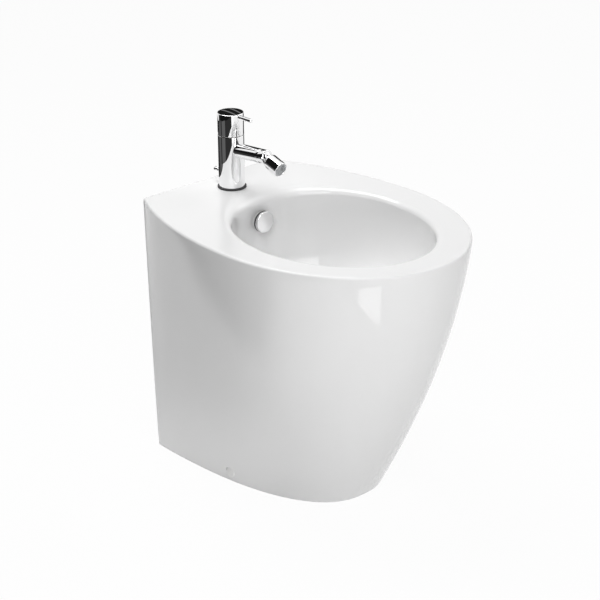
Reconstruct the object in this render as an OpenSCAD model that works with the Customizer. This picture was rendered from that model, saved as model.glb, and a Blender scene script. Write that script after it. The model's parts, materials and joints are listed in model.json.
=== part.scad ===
// Floor standing bidet: a one-piece glazed casting with a single-lever mixer,
// a swivelling ball-joint nozzle and a pop-up waste worked from the mixer's rear knob.
// Origin: on the floor under the middle of the casting. +Z up, +Y towards the wall.

/* [Casting] */
// Width of the rim, side to side
rim_w = 380; // [350:1:420]
// Depth of the rim, wall to front
rim_d = 500; // [470:1:560]
// Height of the rim above the floor
rim_h = 420; // [390:1:450]
// Distance from the wall to the rim's widest point
rim_wide_at = 255; // [230:1:280]
// Width of the rim where it meets the wall
rim_back_w = 256; // [230:1:290]
// Width of the foot on the floor
foot_w = 247; // [225:1:280]
// Depth of the foot on the floor
foot_d = 347; // [330:1:400]
// Width of the foot where it meets the wall
foot_back_w = 242; // [215:1:250]
// Distance from the wall to the foot's widest point
foot_wide_at = 52; // [40:1:120]
// Squareness of the foot's front curve, 2 is an ellipse
foot_square = 2.45; // [2:0.05:3]
// Radius of the casting's upright back corners
corner_r = 8; // [4:1:14]
// Radius between the flank and the top of the rim
rim_edge_r = 6; // [3:0.5:9]
// Thickness of the casting's walls
wall_t = 11; // [9:0.5:14]
// Thickness of the ledge that carries the mixer
deck_t = 14; // [11:0.5:18]

/* [Basin] */
// From the wall to the basin's back wall
ledge_d = 119; // [114:1:130]
// From the rim's outer edge to the basin's side wall
rim_side = 56; // [48:1:64]
// From the rim's front to the basin's front wall
rim_front = 54; // [46:1:64]
// Distance from the wall to the basin's widest point
basin_wide_at = 275; // [265:1:290]
// Depth of the basin below the rim
basin_depth = 145; // [130:1:165]
// Fullness of the basin's hollow, 2 is a quarter ellipse
basin_full = 2.2; // [2:0.05:2.6]
// Radius of the basin's lip at its front and sides
lip_r = 10; // [7:0.5:13]
// Width of the basin's lip in front of the mixer
lip_back_r = 30; // [14:0.5:34]
// How much deeper the lip falls in front of the mixer
lip_dip = 4; // [0:0.5:6]
// How far the rim falls from its outer edge to the lip
rim_fall = 2; // [0.5:0.5:3]
// From the wall to the drain's axis
drain_at = 225; // [210:1:240]
// Radius of the drain hole through the casting
drain_hole_r = 22.5; // [22:0.25:25]
// Radius of the recess that takes the waste's flange
recess_r = 33.5; // [33:0.25:36]
// Depth of that recess
recess_t = 4; // [3.5:0.25:6]
// Depth of the overflow's centre below the rim
overflow_depth = 38; // [34:1:46]
// Radius of the overflow hole
overflow_hole_r = 11; // [9:0.5:13]
// Radius of the cast overflow duct
duct_r = 8; // [6:0.5:9]

/* [Floor fixing] */
// From the wall to the side fixing holes
fixing_at = 180; // [150:1:210]
// Height of the side fixing holes above the floor
fixing_h = 18; // [16:0.5:22]
// Radius of the side fixing holes
fixing_hole_r = 6; // [5:0.25:7]
// Radius of the holes in the brackets for the floor screws
floor_hole_r = 4; // [3:0.25:5]

/* [Mixer] */
// From the wall to the mixer's axis
mixer_at = 56.5; // [50:0.5:60]
// Radius of the mixer's column and cap
column_r = 20; // [19:0.25:22]
// Height of the joint between column and cap above the rim
joint_h = 84.5; // [82:0.5:90]
// Height of the cap itself
cap_h = 34.8; // [32:0.2:40]
// Gap between the column and the cap
cap_gap = 0.8; // [0.5:0.1:1.2]
// Radius of the mixer's base flange
flange_r = 22.2; // [21.5:0.1:24]
// Radius of the mixer's hole in the ledge
mixer_hole_r = 17.5; // [17:0.25:18]
// Radius of the lever pin
lever_r = 3; // [2.5:0.25:4]
// Reach of the lever pin from the mixer's axis
lever_reach = 48; // [40:1:60]
// How far the handle lifts, in degrees
lift_angle = 16; // [10:1:17]

/* [Spout and nozzle] */
// Radius of the spout and its collar
spout_r = 11; // [10.8:0.1:12]
// Height above the rim where the spout's axis leaves the column
spout_h = 61; // [60:0.5:64]
// Length of the spout from the mixer's axis
spout_l = 71; // [60:1:90]
// Upward slope of the spout, in degrees
spout_rise = 4.5; // [0:0.5:8]
// Downward slope of the nozzle at rest, in degrees
nozzle_drop = 19; // [10:1:20]
// Radius of the nozzle
nozzle_r = 11.6; // [11:0.1:12.5]
// Length from the ball's centre to the nozzle's face
nozzle_l = 36.5; // [32:0.5:45]
// Radius of the nozzle's ball
ball_r = 8.9; // [8.5:0.1:9]

/* [Pop-up waste] */
// Radius of the waste's flange
waste_r = 32; // [31:0.25:33]
// Radius of the waste's threaded tube
tube_r = 20.5; // [19.5:0.25:21.5]
// Radius of the plug's cap
plug_r = 20; // [19.5:0.25:24]
// Travel of the rear knob
knob_travel = 26; // [18:1:27]
// Height of the knob above the rim with the plug open
knob_h = 19.5; // [18.5:0.5:22]
// Radius of the tailpiece
tail_r = 16; // [15:0.25:16.5]
// Length of the tailpiece
tail_l = 80; // [60:1:120]
// Depth of the ball lever below the casting's boss
lever_drop = 31; // [29:1:33]

/* [Hidden] */
$fn = 96;

// ---- shared frame ----
wall_y = rim_d / 2;                  // the wall's plane
deck_z = rim_h;                      // top of the ledge
mixer_y = wall_y - mixer_at;         // the mixer's axis
drain_y = wall_y - drain_at;         // the drain's axis
basin_z = rim_h - basin_depth;       // lowest point of the basin's bowl

// ---- the casting's plan and profile ----
flank_straight = 0.49;               // share of the flank's profile that is a straight slope
flank_power = 1.58;                  // how quickly the rest of it turns upright
front_straight = 0.35;
front_power = 1.83;
wide_power = 2.5;

function rise(h, straight, power) = straight * h + (1 - straight) * (1 - pow(1 - h, power));
function flank_rise(h) = rise(h, flank_straight, flank_power);
function half_w(h) = (foot_w + (rim_w - foot_w) * flank_rise(h)) / 2;
function back_half_w(h) = (foot_back_w + (rim_back_w - foot_back_w) * flank_rise(h)) / 2;
function tip(h) = foot_d + (rim_d - foot_d) * rise(h, front_straight, front_power);
function wide_at(h) = foot_wide_at + (rim_wide_at - foot_wide_at) * rise(h, 0, wide_power);
function square(h) = foot_square + (2 - foot_square) * rise(h, 0, wide_power);

// Half width of the casting at distance v from the wall and relative height h,
// drawn in by inset on every side.
function side_x(v, h, inset = 0) =
    let (a = half_w(h) - inset, w = wide_at(h), t = tip(h) - inset)
    v >= w
        ? a * pow(max(0, 1 - pow((v - w) / (t - w), square(h))), 1 / square(h))
        : let (b = (back_half_w(h) - inset) / a)
          a * sqrt(max(0, 1 - (1 - b * b) * pow((w - v) / w, 2)));

// Points of one plan outline, from the middle of the back over the right side
// to the tip, and mirrored to the left side.
back_n = 4;                          // steps along half of the back
corner_n = 3;                        // steps round a back corner
flank_n = 33;                        // steps along a flank to the tip
half_n = back_n + corner_n + flank_n;
ring_n = 2 * half_n;

function half_outline(h, inset) =
    let (v0 = inset, r = max(1, corner_r - inset), t = tip(h) - inset)
    let (xc = side_x(v0 + r, h, inset) - r)
    concat(
        [for (i = [0:back_n - 1]) [xc * i / back_n, v0]],
        [for (i = [0:corner_n - 1])
            let (a = 90 - 90 * i / corner_n)
            [xc + r * cos(a), v0 + r - r * sin(a)]],
        [for (i = [0:flank_n])
            let (v = v0 + r + (t - v0 - r) * sin(90 * i / flank_n))
            [i == flank_n ? 0 : side_x(v, h, inset), v]]
    );

function full_ring(half, z) = concat(
    [for (p = half) [p[0], wall_y - p[1], z]],
    [for (i = [half_n - 1:-1:1]) [-half[i][0], wall_y - half[i][1], z]]
);
function level(z) = min(1, z / (rim_h - rim_edge_r));
function casting_ring(z, inset = 0) = full_ring(half_outline(level(z), inset), z);

// ---- the basin ----
basin_a = rim_w / 2 - rim_side;
basin_front = rim_d - rim_front - basin_wide_at;
basin_back = basin_wide_at - ledge_d;
bowl_r0 = 30;                        // radius where the bowl becomes a circle

function ring_angle(i) = 180 - 360 * i / ring_n;      // 180 at the back, 0 at the tip
function basin_r(t) =
    1 / sqrt(pow(sin(t) / basin_a, 2) + pow(cos(t) / (cos(t) > 0 ? basin_front : basin_back), 2));
// 1 straight behind the basin, fading to 0 at the sides
function behind(t) = pow(max(0, -cos(t)), 6);
function lip_at(t) = lip_r + (lip_back_r - lip_r) * behind(t);
// Depth at which the bowl's wall starts
function wall_top(t) = lip_r + lip_dip * behind(t);
function fall_at(t) = rim_fall * (1 - pow(max(0, -cos(t)), 0.5));
function basin_point(t, r, centre, depth) =
    [r * sin(t), wall_y - centre - r * cos(t), rim_h - depth];

// The lip's quarter round, a = 0 on the rim and 90 on the basin's wall
function lip_ring(a) = [for (i = [0:ring_n - 1])
    let (t = ring_angle(i), f = fall_at(t))
    basin_point(t, basin_r(t) + lip_at(t) * (1 - sin(a)), basin_wide_at,
                f + (wall_top(t) - f) * (1 - cos(a)))];

// One level of the bowl: a = 0 at its top and 90 at the drain.
// Its underside is drawn with grow > 0, from a flat top.
function bowl_sink(a) = pow(sin(a), 2 / basin_full);
function bowl_shrink(a) = pow(cos(a), 2 / basin_full);
function bowl_centre(a) = basin_wide_at + (drain_at - basin_wide_at) * pow(bowl_sink(a), 2);
function bowl_ring(a, flat_top = 0, grow = 0, r0 = bowl_r0) = [for (i = [0:ring_n - 1])
    let (t = ring_angle(i), top = grow > 0 ? flat_top : wall_top(t))
    basin_point(t, r0 + (basin_r(t) + grow - r0) * bowl_shrink(a), bowl_centre(a),
                top + (basin_depth + grow - top) * bowl_sink(a))];
function circle_ring(r, depth) = [for (i = [0:ring_n - 1])
    basin_point(ring_angle(i), r, drain_at, depth)];

// Distance from the wall to the basin's back wall at a depth below the rim
function back_wall_at(depth) =
    let (top = wall_top(180), a = asin(pow((depth - top) / (basin_depth - top), basin_full / 2)))
    bowl_centre(a) - bowl_r0 - (basin_back - bowl_r0) * bowl_shrink(a);

// ---- closed skins from stacked rings ----
outer_levels = 12;                   // steps up the flank
inner_levels = 5;                    // steps down the inside of the flank
under_steps = 6;                     // steps along the bowl's underside
bowl_steps = 10;
lip_steps = 5;
edge_steps = 4;
boss_r = 46;                         // boss round the drain, under the bowl
boss_h = 38;                         // from the basin's bottom to the boss's underside
boss_z = basin_z - boss_h;
lever_z = boss_z - lever_drop;       // height of the ball lever
foot_round = 2;                      // softened edge on the floor

outside_rings = concat(
    [casting_ring(0, foot_round)],
    [for (i = [0:outer_levels])
        casting_ring(foot_round + (rim_h - rim_edge_r - foot_round) * i / outer_levels)],
    [for (i = [1:edge_steps])
        let (a = 90 * i / edge_steps)
        casting_ring(rim_h - rim_edge_r * (1 - sin(a)), rim_edge_r * (1 - cos(a)))],
    [for (i = [0:lip_steps]) lip_ring(90 * i / lip_steps)],
    [for (i = [1:bowl_steps]) bowl_ring(90 * i / bowl_steps)]
);
inside_rings = concat(
    [circle_ring(boss_r, basin_depth + boss_h)],
    [circle_ring(boss_r, basin_depth + wall_t + 4)],
    [for (i = [under_steps - 1:-1:0]) bowl_ring(90 * i / under_steps, deck_t, wall_t, boss_r)],
    [for (i = [inner_levels:-1:0])
        casting_ring(foot_round + (rim_h - deck_t - foot_round) * i / inner_levels, wall_t)],
    [casting_ring(0, wall_t + foot_round)]
);

// One skin: up the flank, over the rim and down to the middle of the basin;
// then the underside, from the boss back out to the foot.
module casting_shell() {
    m = len(outside_rings);
    total = m + len(inside_rings);
    n = ring_n;
    side_faces = [for (j = [0:total - 1]) if (j != m - 1) for (i = [0:n - 1])
        let (next = (j + 1) % total * n, k = (i + 1) % n, a = j * n + i, b = j * n + k)
        each [[a, b, next + k], [a, next + k, next + i]]];
    drain_cap = [for (i = [0:n - 1]) (m - 1) * n + i];
    boss_cap = [for (i = [n - 1:-1:0]) m * n + i];
    polyhedron(
        points = [for (r = concat(outside_rings, inside_rings)) each r],
        faces = concat(side_faces, [drain_cap, boss_cap]),
        convexity = 12
    );
}

// The overflow's duct runs down behind the basin and forward into a ring-shaped
// chamber round the waste.
duct_wall = 6;
duct_y = wall_y - back_wall_at(overflow_depth) + wall_t + duct_r;
duct_z = basin_z - 20;
duct_top_z = rim_h - overflow_depth;
chamber_r = 32;
chamber_h = 16;

module along_y(y0, y1, r, z) {
    translate([0, y0, z]) rotate([-90, 0, 0]) cylinder(r = r, h = y1 - y0);
}
module duct_casing() {
    r = duct_r + duct_wall;
    translate([0, duct_y, duct_z]) cylinder(r = r, h = rim_h - deck_t / 2 - duct_z);
    translate([0, duct_y, duct_z]) sphere(r = r);
    along_y(drain_y + boss_r / 2, duct_y, r, duct_z);
}
module duct_bores() {
    low = duct_z - duct_r / 2;
    translate([0, duct_y, low]) cylinder(r = duct_r, h = duct_top_z + duct_r - low);
    along_y(drain_y, duct_y + duct_r / 2, duct_r, duct_z);
    along_y(wall_y - ledge_d - lip_back_r, duct_y, overflow_hole_r, duct_top_z);
}
module drain_bores() {
    translate([0, drain_y, basin_z - recess_t]) cylinder(r = recess_r, h = recess_t + 12);
    translate([0, drain_y, basin_z - boss_h - 1]) cylinder(r = drain_hole_r, h = boss_h + 2);
    translate([0, drain_y, duct_z - chamber_h / 2]) cylinder(r = chamber_r, h = chamber_h);
}

// Open back for the pipes: straight sides under a round arch
service_w = 150;                     // width of the opening in the back
service_h = 300;                     // height of its crown above the floor
module service_opening() {
    r = service_w / 2;
    translate([-r, wall_y - wall_t - 20, -1]) cube([service_w, wall_t + 40, service_h - r + 1]);
    along_y(wall_y - wall_t - 20, wall_y + 20, r, service_h - r);
}

// Side fixings: the outside and inside of the flank at the hole
fixing_y = wall_y - fixing_at;
fixing_level = fixing_h / (rim_h - rim_edge_r);
flank_x = side_x(fixing_at, fixing_level);
flank_in_x = side_x(fixing_at, fixing_level, wall_t);
cap_head_r = 8.5;                    // radius of the plastic cap over a side fixing
cap_seat = 1.2;                      // depth of the flat seat cut for it
module both_sides() {
    children();
    mirror([1, 0, 0]) children();
}
module side_fixing_bores() {
    both_sides() translate([flank_in_x - 12, fixing_y, fixing_h]) rotate([0, 90, 0]) {
        cylinder(r = fixing_hole_r, h = 60);
        translate([0, 0, flank_x - cap_seat - flank_in_x + 12])
            cylinder(r = cap_head_r + 0.5, h = 30);
    }
}

module ceramic_body() {
    color("white") difference() {
        casting_shell();
        duct_bores();
        drain_bores();
        translate([0, mixer_y, deck_z - deck_t - 1]) cylinder(r = mixer_hole_r, h = deck_t + 2);
        service_opening();
        side_fixing_bores();
    }
}
// The duct's casing, fired in one with the casting
module overflow_duct() {
    color("white") difference() {
        duct_casing();
        casting_shell();
        duct_bores();
    }
}

// ---- small helpers ----
module ring(r_out, r_in, h) {
    difference() {
        cylinder(r = r_out, h = h);
        translate([0, 0, -1]) cylinder(r = r_in, h = h + 2);
    }
}
module hexagon(across_flats, h) {
    cylinder(r = across_flats / sqrt(3), h = h, $fn = 6);
}
// Points of an arc about [0, z] in a turned profile
function arc_points(r, z, from, to, steps = 8) =
    [for (i = [0:steps]) let (a = from + (to - from) * i / steps) [r * cos(a), z + r * sin(a)]];
function round_points(cx, cz, r, from, to, steps = 4) =
    [for (i = [0:steps]) let (a = from + (to - from) * i / steps) [cx + r * cos(a), cz + r * sin(a)]];

// ---- overflow cover ----
overflow_wall_y = wall_y - back_wall_at(overflow_depth);
cover_r = 16.75;                     // radius of the cover's disc
cover_t = 4;
cover_stand = 14.5;                  // from the basin's wall to the disc's front
bush_flange_t = 1.4;
bush_flange_r = overflow_hole_r + 2.5;
bush_gap = 0.9;                      // the flat flange stands this far off the hollow wall
bush_l = 6;                          // length of the bush inside the hole
bush_t = 2.3;
cover_stem_r = overflow_hole_r - 0.1 - bush_t;

module at_overflow() {
    translate([0, overflow_wall_y, duct_top_z]) rotate([90, 0, 0]) children();
}
module overflow_cover() {
    color("silver") at_overflow() difference() {
        union() {
            rotate_extrude() polygon(concat(
                [[0, cover_stand - cover_t], [cover_r - 1, cover_stand - cover_t]],
                round_points(cover_r - 1, cover_stand - cover_t + 1, 1, -90, 0),
                round_points(cover_r - 1.6, cover_stand - 1.6, 1.6, 0, 90),
                [[0, cover_stand]]));
            translate([0, 0, -bush_l]) cylinder(r = cover_stem_r, h = bush_l + cover_stand - 1);
        }
        translate([0, 0, -bush_l - 1])
            cylinder(r = cover_stem_r - 1.7, h = bush_l + 1 + cover_stand - cover_t);
        for (turn = [0, 90])
            rotate([0, 0, turn])
                translate([-4, -cover_r, bush_gap + bush_flange_t + 0.8])
                    cube([8, 2 * cover_r, cover_stand - cover_t - bush_gap - bush_flange_t - 1.6]);
    }
}
module overflow_bush() {
    color("gainsboro") at_overflow() difference() {
        union() {
            translate([0, 0, -bush_l]) cylinder(r = overflow_hole_r - 0.05, h = bush_l + bush_gap + 0.5);
            translate([0, 0, bush_gap]) cylinder(r = bush_flange_r, h = bush_flange_t);
        }
        translate([0, 0, -bush_l - 1]) cylinder(r = cover_stem_r + 0.05, h = bush_l + 10);
    }
}

// ---- floor fixings, one on each side ----
bracket_t = 3;
bracket_w = 34;                      // along the wall of the foot
bracket_h = 32;
bracket_foot = 34;                   // length of the bracket's foot
bracket_gap = 0.3;                   // between the bracket and the casting
bracket_reach = 16;                  // from the upright to the floor screw
bracket_turn = atan((side_x(fixing_at + 10, 0, wall_t) - side_x(fixing_at - 10, 0, wall_t)) / 20);
bracket_lean = atan((side_x(fixing_at, bracket_h / rim_h, wall_t)
                     - side_x(fixing_at, 0, wall_t)) / bracket_h);
bracket_bow = side_x(fixing_at, 0, wall_t)
              - (side_x(fixing_at + bracket_w / 2, 0, wall_t)
                 + side_x(fixing_at - bracket_w / 2, 0, wall_t)) / 2;
bracket_x = side_x(fixing_at, 0, wall_t + foot_round) - bracket_bow - bracket_gap;
side_screw_r = 2.5;
side_screw_head_r = 4.6;
side_screw_head_t = 3;
side_screw_key = 4;                  // across the flats of its socket
side_screw_tail = 6;                 // reaches this far inside the bracket
cap_gap_in = 0.5;                    // between the screw's head and its cap
side_screw_l = flank_x - cap_seat - side_screw_head_t - cap_gap_in - bracket_x;
gusset_toe = 4;                      // the gusset stops short of the foot's edge
gusset_head = 8;                     // and of the bracket's top
cap_t = 2.2;
cap_round = 1.4;
cap_skirt = 3;                       // skirt pressed into the fixing hole
cap_skirt_t = 1.1;

module at_bracket() {
    both_sides() translate([bracket_x, fixing_y, 0]) rotate([0, 0, bracket_turn]) children();
}
module floor_brackets() {
    color("lightslategray") at_bracket() difference() {
        union() {
            translate([-bracket_foot, -bracket_w / 2, 0]) cube([bracket_foot, bracket_w, bracket_t]);
            rotate([0, bracket_lean, 0])
                translate([-bracket_t, -bracket_w / 2, bracket_t / 3])
                    cube([bracket_t, bracket_w, bracket_h - bracket_t]);
            rotate([90, 0, 0])
                translate([0, 0, -bracket_w / 2])
                    linear_extrude(bracket_t)
                        polygon([[-bracket_foot + gusset_toe, bracket_t / 3],
                                 [-bracket_t / 3, bracket_t / 3],
                                 [bracket_t / 3, bracket_h - gusset_head]]);
        }
        translate([-bracket_reach, 0, -1]) cylinder(r = floor_hole_r, h = bracket_t + 2);
        rotate([0, 0, -bracket_turn]) translate([-bracket_foot, 0, fixing_h]) rotate([0, 90, 0])
            cylinder(r = side_screw_r + 0.05, h = 2 * bracket_foot);
    }
}
module side_screws() {
    color("silver") both_sides() translate([bracket_x - side_screw_tail, fixing_y, fixing_h])
        rotate([0, 90, 0]) {
        cylinder(r = side_screw_r, h = side_screw_l);
        translate([0, 0, side_screw_l]) difference() {
            cylinder(r = side_screw_head_r, h = side_screw_head_t);
            translate([0, 0, side_screw_head_t / 2]) hexagon(side_screw_key, side_screw_head_t);
        }
    }
}
module screw_caps() {
    color("white") both_sides()
        translate([flank_x - cap_seat + 0.02, fixing_y, fixing_h])
            rotate([0, 90, 0]) {
                rotate_extrude() polygon(concat(
                    [[0, 0], [cap_head_r, 0]],
                    round_points(cap_head_r - cap_round, cap_t - cap_round - 0.2, cap_round, 0, 90),
                    [[0, cap_t]]));
                translate([0, 0, -cap_skirt])
                    ring(fixing_hole_r - 0.1, fixing_hole_r - 0.1 - cap_skirt_t, cap_skirt + 0.2);
            }
}

// ---- mixer: column and base ----
gasket_t = 2;
flange_t = 1.2;
flange_round = 0.8;
base_t = gasket_t + flange_t;
spigot_r = mixer_hole_r - 0.7;       // locates the column in the ledge's hole
spigot_l = 4;
hollow_r = spigot_r - 2.3;           // hollow under the cartridge
rod_r = 2.5;
knob_pin_r = 2.6;
rod_off = hollow_r - rod_r - 0.5;    // lift rod's place behind the mixer's axis
web_z = knob_h + knob_travel + knob_pin_r + 0.9;
web_t = joint_h - 27.5 - web_z;      // floor of the cartridge's cell
cell_z = web_z + web_t;
cell_r = column_r - 5.2;
thread_r = column_r - 3.6;           // thread for the cartridge's nut
shoulder_z = cell_z + 17;            // cartridge's shoulder, under the nut
port_x = 7.5;                        // hot and cold inlets, side by side
port_y = -1;
inlet_r = 4.6;
outlet_y = -9.5;
stud_r = 3;
stud_y = -10.5;
waterway_r = 5.5;
root_r = 7.5;                        // spout's root, set into the column

module at_mixer() {
    translate([0, mixer_y, deck_z]) children();
}
// Along the spout's axis, from the mixer's axis outwards
module spout_axis() {
    translate([0, 0, spout_h]) rotate([90 - spout_rise, 0, 0]) children();
}
module base_gasket() {
    color("dimgray") at_mixer() ring(flange_r - 0.2, spigot_r + 0.1, gasket_t);
}
module base_flange() {
    color("silver") at_mixer() difference() {
        rotate_extrude() polygon(concat(
            [[0, gasket_t], [flange_r - 0.3, gasket_t], [flange_r, gasket_t + 0.3]],
            round_points(flange_r - flange_round, base_t - flange_round, flange_round, 0, 90),
            [[0, base_t]]));
        cylinder(r = spigot_r + 0.1, h = base_t + 1);
    }
}
module mixer_column() {
    color("silver") at_mixer() difference() {
        rotate_extrude() polygon([
            [0, -spigot_l], [spigot_r, -spigot_l], [spigot_r, base_t], [column_r, base_t],
            [column_r, joint_h - 0.4], [column_r - 0.4, joint_h], [0, joint_h]]);
        translate([0, 0, -spigot_l - 1]) cylinder(r = hollow_r, h = web_z + spigot_l + 1);
        translate([0, 0, cell_z]) cylinder(r = cell_r, h = joint_h);
        translate([0, 0, shoulder_z - 0.1]) cylinder(r = thread_r, h = joint_h);
        for (x = [-port_x, port_x])
            translate([x, port_y, web_z - 1]) cylinder(r = inlet_r, h = web_t + 2);
        translate([0, stud_y, web_z - 1]) cylinder(r = stud_r + 0.02, h = web_t - 1);
        spout_axis() translate([0, 0, cell_r - 0.5]) cylinder(r = root_r + 0.05, h = column_r);
        knob_slot();
    }
}
module knob_slot() {
    r = knob_pin_r + 0.6;
    for (z = [knob_h, knob_h + knob_travel])
        translate([0, hollow_r - 3, z]) rotate([-90, 0, 0]) cylinder(r = r, h = column_r);
    translate([-r, hollow_r - 3, knob_h]) cube([2 * r, column_r, knob_travel]);
}

// ---- spout with its ball joint ----
ball_s = spout_l + 7;                // ball's centre along the spout
lip_s = 4.5;                         // collar and seat reach this far past the ball's centre
socket_r = spout_r - 0.85;
socket_l = 6.3;
seat_gap = 0.08;                     // running gap round the ball
seat_r = ball_r + seat_gap;
seat_angle = asin(lip_s / seat_r);
washer_bore = 5.5;

module spout() {
    color("silver") at_mixer() difference() {
        union() {
            difference() {
                spout_axis() cylinder(r = spout_r, h = spout_l);
                translate([0, 0, spout_h - 40]) cylinder(r = column_r + 0.03, h = 80);
            }
            spout_axis() translate([0, 0, cell_r + 1]) cylinder(r = root_r, h = 12);
        }
        spout_axis() {
            translate([0, 0, cell_r - 2]) cylinder(r = waterway_r, h = spout_l);
            translate([0, 0, spout_l - socket_l]) cylinder(r = socket_r, h = socket_l + 1);
        }
    }
}
module collar() {
    front = ball_s - spout_l + lip_s;
    color("silver") at_mixer() spout_axis() translate([0, 0, spout_l]) rotate_extrude()
        polygon(concat(
            [[seat_r + 0.15, -socket_l + 0.3], [socket_r - 0.05, -socket_l + 0.3],
             [socket_r - 0.05, 0], [spout_r - 0.4, 0], [spout_r, 0.4],
             [spout_r, front - 1.2], [spout_r - 1.2, front]],
            arc_points(seat_r, front - lip_s, seat_angle, 0),
            [[seat_r + 0.15, front - lip_s]]));
}
module ball_seat() {
    back = ball_s - spout_l + socket_l - 0.3;
    color("whitesmoke") at_mixer() spout_axis() translate([0, 0, ball_s]) rotate_extrude()
        polygon(concat(
            [[washer_bore, -back], [seat_r + 0.05, -back], [seat_r + 0.05, -lip_s]],
            arc_points(seat_r, 0, -seat_angle, -acos(washer_bore / seat_r))));
}

// Along the nozzle's axis, from the ball's centre
module nozzle_axis() {
    at_mixer() spout_axis() translate([0, 0, ball_s])
        rotate([spout_rise + nozzle_drop, 0, 0]) children();
}
neck_r = 4.2;
hub_z = 9.8;                         // back of the nozzle
hub_end = 18;
strainer_z = 22.4;
nozzle_wall = 1.5;
module nozzle_ball() {
    color("silver") nozzle_axis() difference() {
        union() {
            sphere(r = ball_r);
            cylinder(r = neck_r, h = hub_end - 0.5);
        }
        translate([0, 0, -ball_r - 1]) cylinder(r = 2.8, h = ball_r + hub_end + 2);
    }
}
module nozzle_body() {
    color("silver") nozzle_axis() difference() {
        rotate_extrude() polygon(concat(
            [[0, hub_z], [nozzle_r - 5, hub_z]],
            round_points(nozzle_r - 5, hub_z + 5, 5, -90, 0, 8),
            [[nozzle_r, nozzle_l - 0.5], [nozzle_r - 0.5, nozzle_l], [0, nozzle_l]]));
        cylinder(r = neck_r + 0.03, h = hub_end + 1);
        translate([0, 0, hub_end]) cylinder(r = nozzle_r - nozzle_wall - 1.9, h = nozzle_l);
        translate([0, 0, strainer_z]) cylinder(r = nozzle_r - nozzle_wall, h = nozzle_l);
    }
}
module strainer_washer() {
    color("dimgray") nozzle_axis() translate([0, 0, strainer_z])
        ring(nozzle_r - nozzle_wall - 0.1, nozzle_r - nozzle_wall - 3, 1.6);
}
// Perforated strainer: rings of holes round a middle one
module strainer() {
    r = nozzle_r - nozzle_wall - 0.05;
    h = nozzle_l - 0.7 - strainer_z - 1.6;
    color("gray") nozzle_axis() translate([0, 0, strainer_z + 1.6]) difference() {
        cylinder(r = r, h = h);
        translate([0, 0, -1]) cylinder(r = r - 1.2, h = h - 0.4);
        translate([0, 0, h - 3]) cylinder(r = 0.7, h = 6);
        for (row = [1:3]) for (i = [0:6 * row - 1])
            rotate([0, 0, i * 60 / row]) translate([row * 2.3, 0, h - 3]) cylinder(r = 0.7, h = 6);
    }
}

// ---- cartridge ----
seal_t = 1;
shell_z = cell_z + seal_t;           // bottom of the cartridge
disc_z = shell_z + 3;                // top of its floor, under the fixed disc
disc_t = 3;
slide_z = disc_z + disc_t + 0.05;    // bottom of the moving disc
slide_t = 5.4;
slide_r = 8.5;
carrier_z = slide_z + slide_t + 0.5;
carrier_top = joint_h + 5.5;
pivot_z = joint_h - 4.5;             // the handle tilts about this height
stem_arm = pivot_z - slide_z - slide_t + 0.2;   // from the pivot down to the stem's ball
stem_ball_r = 3;
neck_out = 12.2;                     // radius of the cartridge's neck
shell_in = 12.05;
neck_in = 9.6;
stem_w = 7;
stem_pin_r = 1.5;
cap_z = joint_h + cap_gap;
cap_top = cap_z + cap_h;
roof_t = 8;                          // solid top of the cap, which holds the lever pin
cap_wall = 2.1;
stem_top = cap_top - roof_t - 1;

module ports(r, z, h, outlet = true) {
    for (x = [-port_x, port_x]) translate([x, port_y, z]) cylinder(r = r, h = h);
    if (outlet) translate([0, outlet_y, z]) cylinder(r = r - 0.5, h = h);
}
module cartridge_seals() {
    color("black") at_mixer() {
        for (x = [-port_x, port_x])
            translate([x, port_y, cell_z]) ring(inlet_r + 1.3, inlet_r, seal_t);
        translate([0, outlet_y, cell_z]) ring(3, 2, seal_t);
    }
}
module cartridge_shell() {
    color("beige") at_mixer() difference() {
        rotate_extrude() polygon([
            [0, shell_z], [cell_r - 0.2, shell_z], [cell_r - 0.2, shoulder_z],
            [neck_out, shoulder_z], [neck_out, joint_h + 1.5], [0, joint_h + 1.5]]);
        translate([0, 0, disc_z]) cylinder(r = shell_in, h = shoulder_z - 1 - disc_z);
        translate([0, 0, disc_z]) cylinder(r = neck_in, h = joint_h);
        ports(3, shell_z - 1, 5);
    }
}
module fixed_disc() {
    color("white") at_mixer() difference() {
        translate([0, 0, disc_z]) cylinder(r = shell_in - 0.15, h = disc_t);
        ports(2.6, disc_z - 1, disc_t + 2);
    }
}
module moving_disc() {
    color("lightgray") at_mixer() difference() {
        translate([0, 0, slide_z]) cylinder(r = slide_r, h = slide_t);
        translate([0, -2, slide_z - 1]) cylinder(r = 5.4, h = 2.2);
        translate([-stem_w / 2, -stem_w / 2, pivot_z - stem_arm - stem_ball_r - 0.3])
            cube([stem_w, stem_w, slide_t]);
    }
}
module cartridge_carrier() {
    color("ivory") at_mixer() difference() {
        union() {
            translate([0, 0, carrier_z])
                cylinder(r = shell_in - 0.15, h = shoulder_z - 1.2 - carrier_z);
            translate([0, 0, carrier_z]) cylinder(r = neck_in - 0.1, h = carrier_top - carrier_z);
        }
        translate([-stem_w / 2 - 0.3, -stem_w / 2 - 4.1, carrier_z - 1])
            cube([stem_w + 0.6, stem_w + 8, carrier_top]);
        translate([-20, 0, pivot_z]) rotate([0, 90, 0]) cylinder(r = stem_pin_r + 0.02, h = 40);
    }
}
module stem_pin() {
    color("silver") at_mixer() translate([-neck_in + 0.2, 0, pivot_z])
        rotate([0, 90, 0]) cylinder(r = stem_pin_r, h = 2 * neck_in - 0.4);
}
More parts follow.
